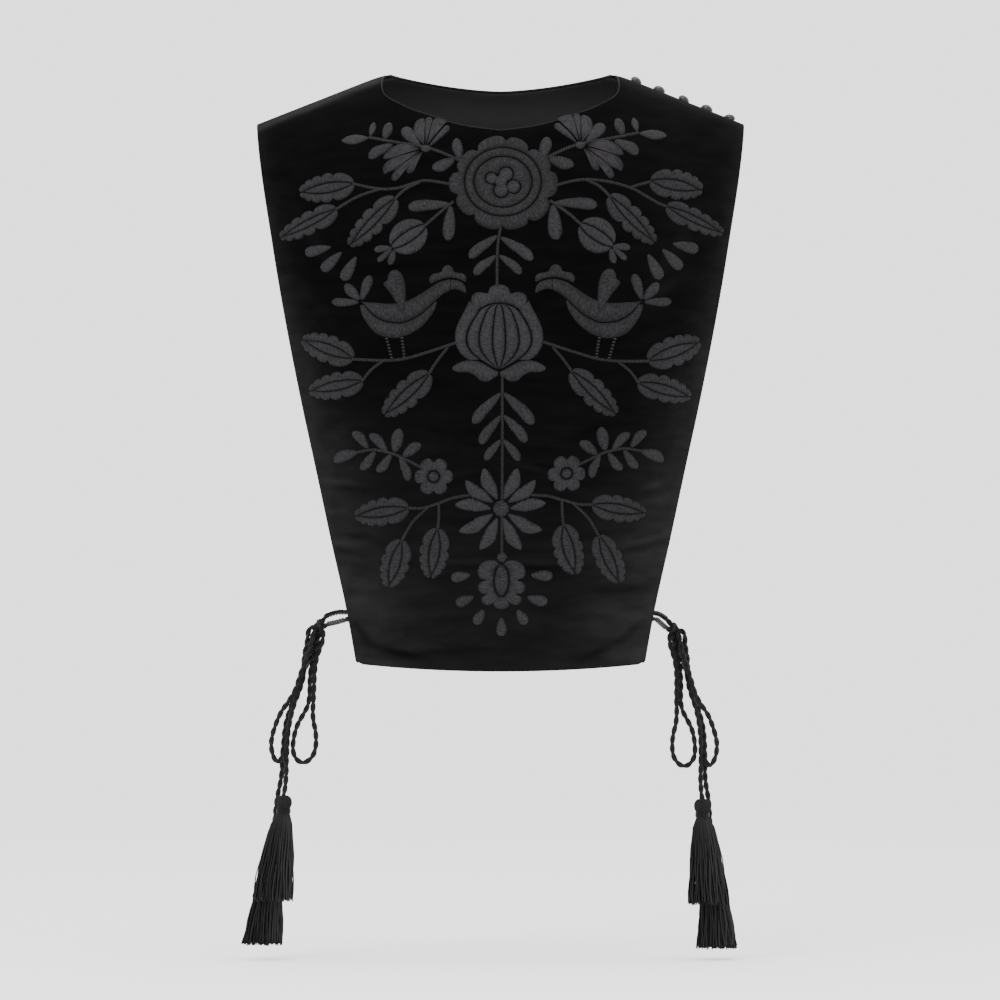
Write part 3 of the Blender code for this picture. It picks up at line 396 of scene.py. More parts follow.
def thread_material(name):
    """Thread laid side by side; stitch has the way along it and across it in metres, and a third value for how
    high it stands in the relief, which sets the painted shade on its rims and in its grooves.
    """
    dark, light, roughness, pitch, run, strength = THREAD_LOOKS[name]
    material, tree, shader = new_material(name, roughness, 0.14, sheen=0.02, sheen_roughness=0.5)
    stitch = node(tree, "ShaderNodeAttribute", attribute_name="stitch").outputs["Vector"]
    # painted shade from the stitch's third value, darker at rims and in grooves
    painted_relief_light = node(tree, "ShaderNodeSeparateXYZ", {"Vector": stitch}).outputs["Z"]
    rows = noise(tree, stretched(tree, stitch, (1.0 / run, 1.0 / pitch, 0.0)), 1.0, 2.0, 0.55)
    grain = noise(tree, stretched(tree, stitch, (0.7 / pitch, 1.2 / pitch, 0.0)), 1.0, 2.0, 0.6)
    cloud = noise(tree, place_of(tree), 55.0, 2.0)
    parts = (rows, 1.5), (grain, 2.3), (cloud, 0.5), (painted_relief_light, SUNK_PAINTED_SHADE)
    tone = summed(tree, *parts, less=1.65 + SUNK_PAINTED_SHADE, clamp=True)
    colour = mixed(tree, tone, dark, light)
    finish_material(tree, shader, colour, summed(tree, (rows, 1), (grain, 0.9)), strength, 0.0006)
    return material


def button_material():
    material, tree, shader = new_material("glossy_button", 0.14, 0.24, coat=0.3)
    shader.inputs["Coat Roughness"].default_value = 0.03
    place = place_of(tree)
    colour = mixed(tree, noise(tree, place, 500.0, 2.0), (0.0015, 0.0015, 0.0018), (0.0030, 0.0030, 0.0034))
    finish_material(tree, shader, colour, noise(tree, place, 900.0, 2.0), 0.03, 0.0002)
    return material


def floor_material():
    material, tree, shader = new_material("pale_floor", 0.9, 0.1)
    colour = mixed(tree, noise(tree, place_of(tree), 3.0, 2.0), (0.93, 0.93, 0.93), (0.95, 0.95, 0.95))
    tree.links.new(colour, shader.inputs["Base Color"])
    return material


# ---- pieces


def placed(name, data):
    """An object with its data, in the scene."""
    made = bpy.data.objects.new(name, data)
    bpy.context.scene.collection.objects.link(made)
    return made


class Piece:
    """Gathers surfaces into one mesh, with a stitch attribute."""

    def __init__(self):
        self.points, self.faces, self.stitch, self.slots = [], [], [], []
        self.count = 0

    def add(self, points, faces, stitch):
        points, faces, stitch = np.asarray(points, float), np.asarray(faces, int), np.asarray(stitch, float)
        if stitch.shape[1] == 2:
            stitch = np.hstack([stitch, np.ones((len(stitch), 1))])
        self.points.append(points)
        self.faces.append(faces + self.count)
        self.stitch.append(stitch)
        self.slots.append(np.zeros(len(faces), int))
        self.count += len(points)

    def grid(self, points, stitch, around=False, across_round=False, flip=False):
        """Rows and columns of points; around joins the last row to the first, across_round the last column."""
        rows, columns = points.shape[:2]
        i = np.arange(rows if around else rows - 1)[:, None]
        j = np.arange(columns if across_round else columns - 1)[None, :]
        ni, nj = (i + 1) % rows, (j + 1) % columns
        quads = np.stack([i * columns + j, i * columns + nj, ni * columns + nj, ni * columns + j], axis=-1)
        quads = quads.reshape(-1, 4)
        quads = quads[:, ::-1] if flip else quads
        self.add(points.reshape(-1, 3), quads, stitch.reshape(-1, stitch.shape[-1]))

    def build(self, name, materials, slot, *replaced, painted_light=None):
        """One object on the body, in place of the solids that it replaces; its slot is not used."""
        mesh = bpy.data.meshes.new(name)
        faces = [face for part in self.faces for face in part.tolist()]
        mesh.from_pydata(np.vstack(self.points).tolist(), [], faces)
        mesh.attributes.new("stitch", "FLOAT_VECTOR", "POINT")
        mesh.attributes["stitch"].data.foreach_set("vector", np.vstack(self.stitch).ravel())
        # the optional point attribute carries the velvet's painted light
        if painted_light is not None:
            mesh.attributes.new("painted_light", "FLOAT", "POINT").data.foreach_set("value", np.asarray(painted_light, float))
        for material in materials:
            mesh.materials.append(material)
        mesh.polygons.foreach_set("material_index", np.concatenate(self.slots))
        mesh.shade_smooth()
        mesh.update()
        piece = placed(name, mesh)
        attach(piece, "root")
        if replaced:
            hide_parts(*replaced)
        return piece


# ---- cloth shells

CLOTH_STEP, FRONT_STEP, LINING_STEP = 0.0030, 0.0023, 0.0045
EDGE_STEP = 0.0030
EDGE_RINGS = (
    # inside the cut edge, sunk from each face
    (0.0007, 0.00030),
    (0.0016, 0.00008),
)
BACK_NECK_STEPS = 48


def neck_line(front):
    """From the right neck point to the left one."""
    if front:
        half = smooth_path(FRONT_NECK, 10)
        return np.vstack([half, half[-2::-1] * (-1, 1)])
    x = NECK_HALF * np.cos(pi * np.arange(BACK_NECK_STEPS + 1) / BACK_NECK_STEPS)
    z = BACK_NECK_Z + (NECK_POINT_Z - BACK_NECK_Z) * np.abs(x / NECK_HALF) ** BACK_NECK_POWER
    drop = np.where(np.abs(x) < NECK_HALF * 0.999, np.maximum(0, ridge_z(x) - z), 0)
    return np.stack([x, cloth_s(drop, ROLL[front])], axis=1)


def panel_outline(front):
    """The cut edge of a panel, from the left shoulder tip over the neck and round."""
    end = float(hem_s(np.array(HEM_HALF), front))
    s = np.linspace(0, end - HEM_CORNER, round(end / EDGE_STEP))
    right = np.stack([side_x(s, front), s], axis=1)
    corner_x = float(side_x(np.array([end]), front)[0])
    corner_s = float(hem_s(np.array(corner_x), front))
    turns = np.radians(np.linspace(0, 90, 7))[1:]
    corner = (corner_x, corner_s) - HEM_CORNER * (1 - circle(turns))
    x = np.linspace(corner_x - HEM_CORNER, HEM_CORNER - corner_x, round(2 * corner_x / EDGE_STEP))[1:-1]
    hem = np.stack([x, hem_s(x, front)], axis=1)
    x = np.linspace(SHOULDER_HALF, NECK_HALF, round((SHOULDER_HALF - NECK_HALF) / EDGE_STEP))[1:-1]
    ridge = np.stack([x, np.zeros_like(x)], axis=1)
    right = np.vstack([right, corner])
    return np.vstack([ridge * (-1, 1), neck_line(front)[::-1], ridge[::-1], right, hem, right[::-1] * (-1, 1)])


def edge_distance(points, polygon):
    """Distance of each point from a closed polygon's line."""
    best = np.full(len(points), 1e9)
    for start, end in zip(polygon, np.roll(polygon, -1, axis=0)):
        side = end - start
        t = share(((points - start) @ side) / max(side @ side, 1e-18))
        best = np.minimum(best, np.linalg.norm(points - start - t[:, None] * side, axis=1))
    return best


def inside(points, polygon):
    result = np.zeros(len(points), bool)
    for (x0, y0), (x1, y1) in zip(polygon, np.roll(polygon, -1, axis=0)):
        if y0 != y1:
            crosses = (y0 > points[:, 1]) != (y1 > points[:, 1])
            result ^= crosses & (points[:, 0] < x0 + (points[:, 1] - y0) * (x1 - x0) / (y1 - y0))
    return result


def inset(polygon, distance):
    """The polygon's points moved inside by a distance, without those that come too near its line."""
    inward = left_of(np.roll(polygon, -1, axis=0) - np.roll(polygon, 1, axis=0))
    moved = polygon + inward * distance * (1 if signed_area(polygon) > 0 else -1)
    near = edge_distance(moved, polygon)
    return moved[(near > 0.8 * distance) & inside(moved, polygon)]


def filled(polygon, rings, step, clearance):
    """Triangles of a polygon with rings of points along its edge and an even filling: (points, faces)."""
    extra = [inset(polygon, distance) for distance in rings]
    low, high = polygon.min(axis=0), polygon.max(axis=0)
    grid = []
    for k, y in enumerate(np.arange(low[1] + step / 2, high[1], step * 0.87)):
        x = np.arange(low[0] + (0.5 * step if k % 2 else 0), high[0], step)
        grid.append(np.stack([x, np.full_like(x, y)], axis=1))
    grid = np.vstack(grid)
    grid = grid[inside(grid, polygon)]
    grid = grid[edge_distance(grid, polygon) > clearance]
    edge = polygon if signed_area(polygon) > 0 else polygon[::-1]
    points = [Vector(p) for p in np.vstack([edge] + extra + [grid]).tolist()]
    flat, _, faces, _, _, owners = delaunay_2d_cdt(points, [], [list(range(len(edge)))], 0, 1e-9, True)
    kept = [face for face, own in zip(faces, owners) if own]
    return np.array([tuple(p) for p in flat]), np.array(kept)


def shell(name, front, outer_lift, inner_lift, materials, slot, replaced, painted_light_of=None, step=CLOTH_STEP):
    """A panel as a thin closed shell with a rounded edge."""
    outline = panel_outline(front)
    places, sinks = np.array(EDGE_RINGS).T
    flat, faces = filled(outline, places, step, places[-1] + step * 0.45)
    away = edge_distance(flat, outline)
    thickness = outer_lift - inner_lift
    sinks = [thickness / 2, *(sinks * thickness / WALL), 0]
    sink = np.interp(away, [0, *places, places[-1] * 1.6], sinks)
    x, s = flat[:, 0], flat[:, 1]
    outer = on_cloth(x, s, front, outer_lift - sink)
    inner = on_cloth(x, s, front, inner_lift + sink)
    rim = away < 1e-6
    below = np.where(rim, np.arange(len(flat)), len(flat) + np.cumsum(~rim) - 1)
    outward = faces[:, ::-1] if front else faces
    points = np.vstack([outer, inner[~rim]])
    piece = Piece()
    piece.add(points, outward, np.vstack([flat, flat[~rim]]))
    piece.faces.append(below[outward[:, ::-1]])
    piece.slots.append(np.full(len(outward), len(materials) - 1))
    # painted light on the velvet's points: painted sheen, highlights and crease shade
    painted_light = painted_light_of(points[:, 0], points[:, 2]) if painted_light_of else None
    return piece.build(name, materials, slot, replaced, painted_light=painted_light)


# ---- embroidery, on its own chart

# Squares counted out from the centre line and down from a line above the neck
SQUARE = 0.00079
CHART_TOP = 0.0742
PADDING = 1.25 * MM  # height of the padded stitches
SUNK = -0.30 * MM  # their edges in the pile
VEIN = 0.22  # half of a groove between two patches, in squares
FAN_VEIN = 0.2
FULL_WIDTH = 3.2  # a patch about this wide is padded to most of its height
END_RUN = 1.6  # over which a row of stitches sinks at its ends
ROW_STEP = 1.3
WING_IN_BODY, WING_STEP = 7, 4  # squares of the wing that lie over the body, and that come down from it
STEM_WIDTH, STEM_RISE, STEM_STEP, STEM_STITCH, STEM_SLANT = 3.6, 0.75, 0.42, 2.5, 0.42
ROSE_LIGHT, FLOWER_LIGHT, SCALLOPED_LIGHT, BIRD_LIGHT = -0.40, 0.20, -0.10, -0.28

SCALLOPED_LEAVES = (
    # base out, base down, tip out, tip down, width
    (146.5, 183.5, 200.5, 192, 31), (163.5, 209, 220.5, 237, 21), (104.5, 198.5, 150.5, 246, 24),
    (146.5, 359, 197.5, 339.5, 30), (137, 381, 190.5, 391, 28), (70.5, 374, 115.5, 415, 28),
    (91.5, 508, 144.5, 516, 30), (98.5, 540, 111.5, 586.5, 32), (62.5, 528.5, 69.5, 577, 33),
)
POINTED_LEAVES = (
    # base out, base down, tip out, tip down, width, bend
    (131.5, 137, 159.5, 140, 10, 0), (130.5, 136, 126.5, 121, 6.8, 0), (2.6, 500, 16.8, 468.3, 13.6, 2.5),
    (6.6, 502.6, 35.2, 480.6, 12.6, 3), (8.6, 508.5, 45.5, 504.8, 12.8, -2),
    (6.8, 513.4, 41.5, 531.6, 13.2, 3), (2.8, 516.8, 20.6, 549.6, 13.4, 2.5),
)
BLUNT_LEAVES = (
    # the same, with round tips
    (116.5, 139, 110.5, 121.5, 10, 0), (107.5, 144, 132, 158, 11, -2), (40.5, 160, 44.5, 138, 11, 0.5),
    (45.5, 159.5, 68.5, 169, 12, 1), (49.5, 205, 92.5, 208, 12, -1), (49.5, 206, 52.5, 242, 13, 0),
    (107, 249, 126.2, 250.8, 7.4, -0.6), (108, 250, 122.6, 262.4, 6.4, 0),
    (106, 250.6, 110.6, 266.2, 7.6, 0.4), (140.5, 303, 168.5, 302, 8.8, 0.5),
    (140, 301, 155, 284.5, 10.6, 0.5), (138.5, 301.5, 129.5, 276, 10.2, 0.5),
    (142.5, 452, 166.5, 461.5, 12, -2), (131.5, 449, 147.5, 431.5, 10, -1.5),
    (112.5, 452, 130.5, 434, 10, -1.5), (105.5, 453, 100.5, 428.5, 12.6, 0), (97.5, 457, 79, 444, 11.2, 1),
    (124.5, 451, 139.5, 470, 10, 1), (108.5, 454, 123.5, 472, 10, 1.5), (100.5, 456, 91.5, 481, 9.6, 1.5),
)
CENTRE_LEAVES = (
    # the same on the centre stem, each side by itself
    (-2.2, 236.5, -31.5, 259, 11, 1.5), (-0.6, 238, 32.5, 261, 11.5, -1.5),
    (-3.6, 256.5, -26.5, 276, 10, 1.5), (-2, 256, 20.8, 275, 9.5, -1.5), (1, 393, -27.5, 424, 11.5, 1.5),
    (2.4, 393, 33, 424.5, 12.5, -1.5), (1, 415.5, -20.5, 444.5, 10.5, 1.5), (2.4, 415, 26, 442.5, 11, -1.5),
    (1, 439.5, -15.5, 460.5, 9, 1), (2.4, 439.5, 19, 461, 9.4, -1),
)
PETALS = (
    # point out, point down, round end out, round end down, width
    (79.8, 146.4, 98, 127.4, 12.6), (71.6, 146.6, 51.6, 125.6, 6.6), (168.5, 247, 195.5, 253, 11),
    (158, 252, 178.5, 271, 11.5), (143.5, 256.5, 157.5, 281, 12), (29.5, 574.5, 49.5, 578, 11),
    (26, 596, 44.5, 604, 11), (16.5, 609, 25.5, 624, 11),
)
CENTRE_DROP = (1, 616.5, 1, 636, 11)
# Forms of leaf: where the rows end and how they crowd there, how much of the width its round end takes,
# or 0 for a pointed one, and the powers of its swell
POINTED = (0.998, 1.35, 0, 1.2, 0.68)
BLUNT = (0.998, 1.35, 0.8, 0.58, 0.6)
PETAL = (0.999, 1.5, 0.55, 0.72, 0.5)
LEAF_SETS = (
    # leaves, form, how light they look, mirrored
    (POINTED_LEAVES, POINTED, 0.36, True),
    (BLUNT_LEAVES, BLUNT, 0.06, True),
    (CENTRE_LEAVES, BLUNT, 0.06, False),
)
FANS = (
    # each band's root, then the points of its outer edge from one groove to the next
    ((76.2, 146.2), ((87.2, 133), (87, 126), (85.2, 120.8), (81.4, 117.6), (77.2, 116.8), (75.4, 118.4))),
    ((75, 145.8), ((75.4, 118.4), (73.6, 116), (70.6, 115.6), (68.6, 116.8), (67.6, 118.8))),
    ((74, 145.8), ((67.6, 118.8), (64.4, 116.8), (59, 117.4), (53.4, 120.4), (58.2, 124.8))),
    ((79.8, 149), ((93, 144.2), (101.5, 143.6), (109, 147), (116, 153.6), (118, 158.4), (113.6, 159.4),
     (109, 158.6))),
    ((79.2, 150), ((109, 158.6), (114.6, 162), (118.4, 168.6), (116.6, 174.6), (111.2, 172.4),
     (105.4, 170.2))),
    ((78.6, 150.6), ((105.4, 170.2), (109.2, 176), (109, 180.6), (105, 181.8), (99.6, 176.6), (95, 169.6))),
    ((78, 151), ((95, 169.6), (94, 173), (90.6, 174), (87, 172), (84.2, 166.4), (81, 159.4), (78.2, 153.6))),
)
STEMS = (
    # points out and down from root to end
    ((38, 163), (45, 158.7), (71.5, 148), (104.5, 142), (132.5, 136.5)),
    ((80, 182.5), (95, 189.5), (106.5, 200.5)), ((46.5, 202), (60, 213), (76, 227)),
    ((42, 343), (75.5, 354), (98.5, 360), (121.5, 361), (148.5, 359.5)),
    ((116, 361), (128.5, 370), (138.5, 382)), ((52, 348), (62.5, 361), (72, 375.5)),
    ((72, 471), (99.5, 457), (110, 453), (126.5, 450), (144.5, 452.5)),
    ((30, 495), (48, 498), (62.5, 503.5), (78, 508), (93.5, 508)), ((72, 507), (87.5, 522), (99.5, 542)),
    ((61.5, 503), (61.5, 517), (62.8, 530.5)),
)
CENTRE_STEMS = (
    # the same on the centre line and for the upper side stems, which branch another way on each side
    ((-48, 185), (-73.5, 181), (-86.5, 183.5), (-103, 188.5), (-122.5, 189), (-148.5, 183.5)),
    ((-119, 188.8), (-143, 197), (-165.5, 210)),
    ((50, 187.5), (59.5, 184.8), (72, 181.4), (86, 179.8), (104.5, 181.4), (120.5, 185), (132.5, 189),
     (144.5, 195.6), (156.5, 202.6), (166.6, 206.6)),
    ((129.5, 187.8), (140, 184.4), (150.8, 181.4)), ((0.5, 227), (-1.6, 238), (-3.2, 256), (-3.4, 289)),
    ((1.8, 376), (1.8, 440), (1.6, 502)), ((1.4, 515), (1.4, 556)),
)
LEGS = (((113.2, 339.5), (108.2, 358.5)), ((97.8, 339), (95.6, 358)))
LEG_BEADS = 7
BIRD_BACK = (
    (139.5, 302.4), (124, 303.4), (108, 304.3), (93.4, 301.8), (80, 294.9), (69.5, 288.1), (61.5, 283.1),
    (52.8, 280.6), (50.1, 280.4),
)
BIRD_BELLY_LINE = (
    (135.5, 304.5), (128.2, 314.3), (117.5, 321), (104.1, 323.7), (93.4, 322.4), (80, 315.7), (71.9, 309),
    (63.8, 301.5),
)
BIRD_CHIN = ((57, 295.6), (50.1, 291.8))
BIRD_HEAD = ((49.7, 280.4), (44.1, 281.1), (38.2, 283.2), (34.9, 288), (34, 293))
BIRD_BEAK = ((49.7, 291.6), (46, 290.8), (42.6, 291.2), (38, 293), (34.6, 294.6))
BIRD_BELLY = (
    (140.2, 305.4), (138.9, 313.5), (132.2, 325.5), (122.8, 334.9), (109.4, 338.9), (98.7, 338.3),
    (86.7, 333.6), (75.9, 325.5), (66.6, 313.5), (62.8, 303.4),
)
BIRD_WING_OUT = (
    (97.4, 315), (102, 307), (108.5, 296.5), (114, 289.5), (117.2, 284.6), (112.8, 280.6), (112.2, 275.8),
    (108.5, 271),
)
BIRD_WING_IN = ((96.2, 314.5), (94.4, 303), (94.1, 291.8), (95.4, 281.5), (98.5, 274.5), (103.5, 270.4))
CREST_FOOT = ((68.8, 285.2), (61.2, 281.6), (52.6, 279.4), (44.1, 279.9), (36, 283.2))
CREST_TOP = (
    (70.6, 284.2), (71, 279.4), (67.6, 275), (62.2, 273.8), (58.6, 272.4), (57.2, 268.2), (52.6, 265.8),
    (48, 268.2), (46.4, 272.6), (42, 273.8), (36.8, 274.8), (33.8, 278.6), (34.2, 283),
)
TULIP_CENTRE = -1.4
TULIP_WIDTHS = (
    # down, half width of the bulb
    (304.5, 1), (305.6, 8), (308.5, 15.5), (313, 20.4), (320, 24.8), (328, 29.4), (337, 32.2), (345, 32),
    (352, 28.6), (359, 20.8), (364, 12.8), (368, 5.6), (370.6, 0.8),
)
TULIP_SHARES = (-1, -0.62, -0.2, 0.2, 0.62, 1)
CROWN_TOP = (
    (28.2, 302.5), (27.4, 297.2), (23.6, 293.8), (17.6, 293), (12.6, 294.4), (10.8, 293.2), (9.6, 289.4),
    (6, 286.4), (0, 285.3),
)
CROWN_FOOT = ((23.8, 312.2), (21.4, 311.7), (16.4, 308.7), (9, 305.3), (0, 304.1))
SIDE_PETAL_OUT = (
    (29.4, 301), (33, 308), (37, 316), (41.8, 326), (44, 335), (43.4, 345), (39.8, 353), (34.4, 358.6),
    (28.6, 361.6),
)
SIDE_PETAL_ROWS = (312, 360.6)
FOOT_LEAF_TOP = ((0.3, 372.5), (4.6, 370.6), (14, 365), (22, 361.4), (31, 360.8), (40, 363.4), (46.6, 367.6))
FOOT_LEAF_LOW = (
    (0.4, 376.4), (4.6, 378.6), (11, 382.4), (18.5, 381.6), (24.5, 376.2), (31, 373.4), (41.5, 373),
    (47, 370.2),
)
FOOT_CENTRE = 1
FOOT_IN = ((1.6, 564), (5.4, 567.4), (7.5, 574.5), (7.7, 584), (5.9, 591.8), (1.9, 596.6))
FOOT_OUT = (
    (4.4, 560.6), (12.6, 559.8), (20.4, 563.2), (24.2, 570.8), (22.2, 577.6), (15.8, 579.9), (21.8, 582.2),
    (24, 588), (20.6, 593), (15.2, 594.6), (20.2, 597.2), (19.8, 602.4), (13.8, 605.6), (8.6, 603.4),
)
BUD = ((74.6, 226.4), (108.6, 248.4), 35.5)  # base, tip, width
BUD_SHARES = (-1, -0.3, 0.3, 1)
ROSE = (2.4, 182.4)  # centre out and down
ROSE_NOTCHES = (
    # from the rose's centre: out and down of each notch, and how far the lobe after it swells
    (3.6, -42, 7.6), (25, -31, 8.6), (47, -11.7, 9.6), (44.3, 16.1, 9.4), (25.7, 38, 6.6), (-0.7, 44.4, 8.2),
    (-28.6, 33, 7.8), (-45, 13.3, 9.8), (-44.3, -10.3, 8.4), (-25.4, -31, 9.2),
)
ROSE_GROOVES = ((38.3, 34.6), (29, 25.8))
ROSETTE = (
    # from the rose's centre: out, down, radius
    (3.2, -7.6, 7.2), (10.6, 5, 7), (-1.8, 8.6, 7.4), (-11.4, -3.4, 6), (-2, -0.6, 6.6),
)
SPRIG_FLOWER = (66.5, 476.6, 19.5, 5.3, 6)  # centre, radius, heart, lobes
SPRIG_NOTCH = 0.264
# Round hearts: out, down, radius out, radius down
FAN_HEART, STEM_FOOT, STAR_HEART = (74.6, 148.6, 5.4, 4), (1.4, 557, 5.3, 5.3), (0.6, 508.5, 8.3, 8.3)
LEAF_CUTS = (
    # where the scallops meet along a leaf, on each side
    (0, 0.43, 0.64, 0.81, 0.93, 1), (0, 0.36, 0.57, 0.75, 0.89, 1),
)
LEAF_LOBE_ROWS = 14
RIGHT_SHIFT = (
    # down, then how far the right half lies further out and lower than the left, near and far out
    (110, 5, -3.5, 8.5, -6.5), (150, 5, -3.5, 8.5, -6), (190, 5, -2.5, 1, -2.5), (240, 4.5, -1, 2.5, -4.5),
    (290, 2.7, -1.2, 2.7, -0.8), (350, -0.5, -0.5, 1, 3), (390, 0, -3, -1, 6), (430, 0, -2, -3.5, 0),
    (480, -0.8, -3.2, -4.5, 0), (515, 0, -4, 0, -2), (540, 0.5, -4, -4, -6), (585, 5.5, -3.5, 8, -6),
)
NEAR_OUT, FAR_OUT = 75, 190
HELD_OUT, HELD_WIDTH = 30, 35  # inside this the two halves meet on the centre line


def right_half(out, down):
    """The right half of the chart, which isn't quite the left's mirror image."""
    near_out, near_down, far_out, far_down = columns_at(RIGHT_SHIFT, down)
    far = share((out - NEAR_OUT) / (FAR_OUT - NEAR_OUT))
    held = share((out - HELD_OUT) / HELD_WIDTH)
    return (out + held * (near_out + (far_out - near_out) * far),
            down + held * (near_down + (far_down - near_down) * far))


class Chart(Piece):
    """Padded stitches laid out on the chart, then carried to the cloth."""

    light = 0

    def lay(self, squares, height, stitch, painted_relief_light, around=False, mirror=True):
        """A grid of points in squares, rows along the stitching, columns across it."""
        painted_relief_light = np.broadcast_to(painted_relief_light, squares.shape[:2])[..., None]
        stitch = np.concatenate([stitch * SQUARE, painted_relief_light], axis=-1)
        out, down = squares[..., 0], squares[..., 1]
        third = len(squares) // 3
        area = signed_area(squares[[0, 0, third, third], [0, -1, -1, 0]])
        for side in (1, -1) if mirror else (1,):
            across, below = right_half(out, down) if mirror and side == 1 else (out, down)
            x = side * across * SQUARE
            s = cloth_s(ridge_z(x) - (CHART_TOP - below * SQUARE), ROLL[True])
            self.grid(on_cloth(x, s, True, height), stitch, around, flip=area * side > 0)

    def rails(self, a, b, rise=1, columns=9, around=False, mirror=True, ends=True, over=0):
        """Stitches from one rail to the other, padded between them; over is what lies under the first rows."""
        u = (1 - np.cos(pi * np.arange(columns) / (columns - 1))) / 2
        squares = a[:, None] * (1 - u)[:, None] + b[:, None] * u[:, None]
        width = np.linalg.norm(a - b, axis=1)[:, None]
        along = run_along((a + b) / 2)[:, None]
        full = rise * (1 - np.exp(-width / FULL_WIDTH))
        if ends and not around:
            full = full * np.sqrt(share(np.minimum(along, along[-1] - along) / END_RUN))
        above = over * share(1 - (along - WING_IN_BODY) / WING_STEP)
        height = SUNK + (full * PADDING - SUNK * (full > 0)) * crown(2 * u - 1, 2.8) + above * PADDING
        rim = np.abs(2 * u - 1)
        # painted shade: darker at the rims and over narrow patches, and a painted shadow along the rim of a
        # piece that lies over the body
        painted_relief_light = (1 - rim**3) * (0.25 + 0.75 * full / max(full.max(), 1e-9)) - 1.6 * above * rim**4
        self.lay(squares, height, stacked(u * width, along), painted_relief_light + self.light, around, mirror)

    def curves(self, a, b, mirror=True, over=0, ends=True):
        """Rails through two sets of given points."""
        a, b = smooth_path(a, 8), smooth_path(b, 8)
        rows = int(max(length_of(a), length_of(b)) / ROW_STEP)
        self.rails(respaced(a, rows), respaced(b, rows), mirror=mirror, over=over, ends=ends)

    def patches(self, line, across, half, shares, least, **manner):
        """Bands of stitches side by side along a line, between shares of its half width."""
        for low, high in zip(shares, shares[1:]):
            room = np.minimum(VEIN, least * half * (high - low))
            near, far = (half * low + room)[:, None], (half * high - room)[:, None]
            self.rails(line + across * near, line + across * far, **manner)

    def dome(self, out, down, radius_out, radius_down, rise=1, mirror=True, rings=6, sides=20):
        a = angles(sides)[:, None]
        q = np.sin(pi / 2 * np.arange(rings, -1, -1) / rings) ** 0.8
        u, v = radius_out * np.cos(a) * q, radius_down * np.sin(a) * q
        squares = np.stack([out + u, down + v], axis=-1)
        squares[:, -1] = (out, down)
        height = np.broadcast_to(SUNK + (rise * PADDING - SUNK) * crown(q, 4), squares.shape[:2])
        # painted shade, darker towards the dome's rim
        self.lay(squares, height, np.stack([u, v], axis=-1), 1 - q**6, True, mirror)

    def stem(self, points, mirror=True):
        """A rope of short slanting stitches."""
        path = smooth_path(points, 12)
        count = max(8, int(length_of(path) / STEM_STEP))
        path = respaced(path, count)
        u = np.linspace(-1, 1, 9)
        run = np.arange(count)[:, None] * STEM_STEP
        beat = np.abs(np.sin(pi * (run / STEM_STITCH + STEM_SLANT * u))) ** 0.8
        across = u[:, None] * STEM_WIDTH / 2 * (0.82 + 0.18 * beat[..., None])
        squares = path[:, None] + left_of(np.gradient(path, axis=0))[:, None] * across
        ends = np.sqrt(share(np.minimum(run, run[-1] - run) / 0.8))
        height = SUNK + (STEM_RISE * PADDING * (0.42 + 0.58 * beat) - SUNK) * crown(u, 2.4) * ends
        # painted shade in the grooves between the slanting stitches
        painted_relief_light = (1 - np.abs(u) ** 3) * (2 * beat - 0.9)
        self.lay(squares, height, stacked(u * STEM_WIDTH, run), painted_relief_light, mirror=mirror)

    def leaf(self, base_out, base_down, tip_out, tip_down, width, bend, form, mirror=True):
        """A leaf or petal, pointed at its base, and at its tip unless its form makes it round."""
        last, easing, round_share, root, end = form
        length = hypot(tip_out - base_out, tip_down - base_down)
        t = 1 - (1 - np.linspace(0.01, last, max(14, int(length / 1.1)))) ** easing
        line, across = spine((base_out, base_down), (tip_out, tip_down), t, bend)
        if round_share:
            turn = 1 - round_share * width / length
            rising = np.sin(pi / 2 * np.minimum(t / turn, 1)) ** root
            falling = share(1 - (np.maximum(t - turn, 0) / (1 - turn)) ** 2) ** end
            swell = np.where(t < turn, rising, falling)
        else:
            swell = np.sin(pi * t**root) ** end
        reach = across * (0.5 * width * swell + 0.10)[:, None]
        self.rails(line + reach, line - reach, mirror=mirror)

    def fan_band(self, root, edge):
        """One band of a fan: stitches run from its outer edge to its root, with a thin groove either side."""
        edge = respaced(smooth_path(edge, 6), 18)
        toward = edge - root
        aside = left_of(toward)
        way = 1 if np.dot(aside[0], edge[-1] - edge[0]) > 0 else -1
        middle = np.linspace(-1, 1, len(edge))[:, None]
        groove = -way * FAN_VEIN * np.sign(middle) * np.abs(middle) ** 6 * aside
        self.rails(edge + groove, root + toward * 0.05 + groove * 0.3, ends=False)

    def scalloped_leaf(self, base_out, base_down, tip_out, tip_down, width):
        """Two bands of round scallops either side of a lens of stitches."""
        base, tip = (base_out, base_down), (tip_out, tip_down)
        length = hypot(tip_out - base_out, tip_down - base_down)

        def lens(t):
            return 0.16 * width * np.sin(pi * share((t - 0.02) / 0.92)) ** 0.85

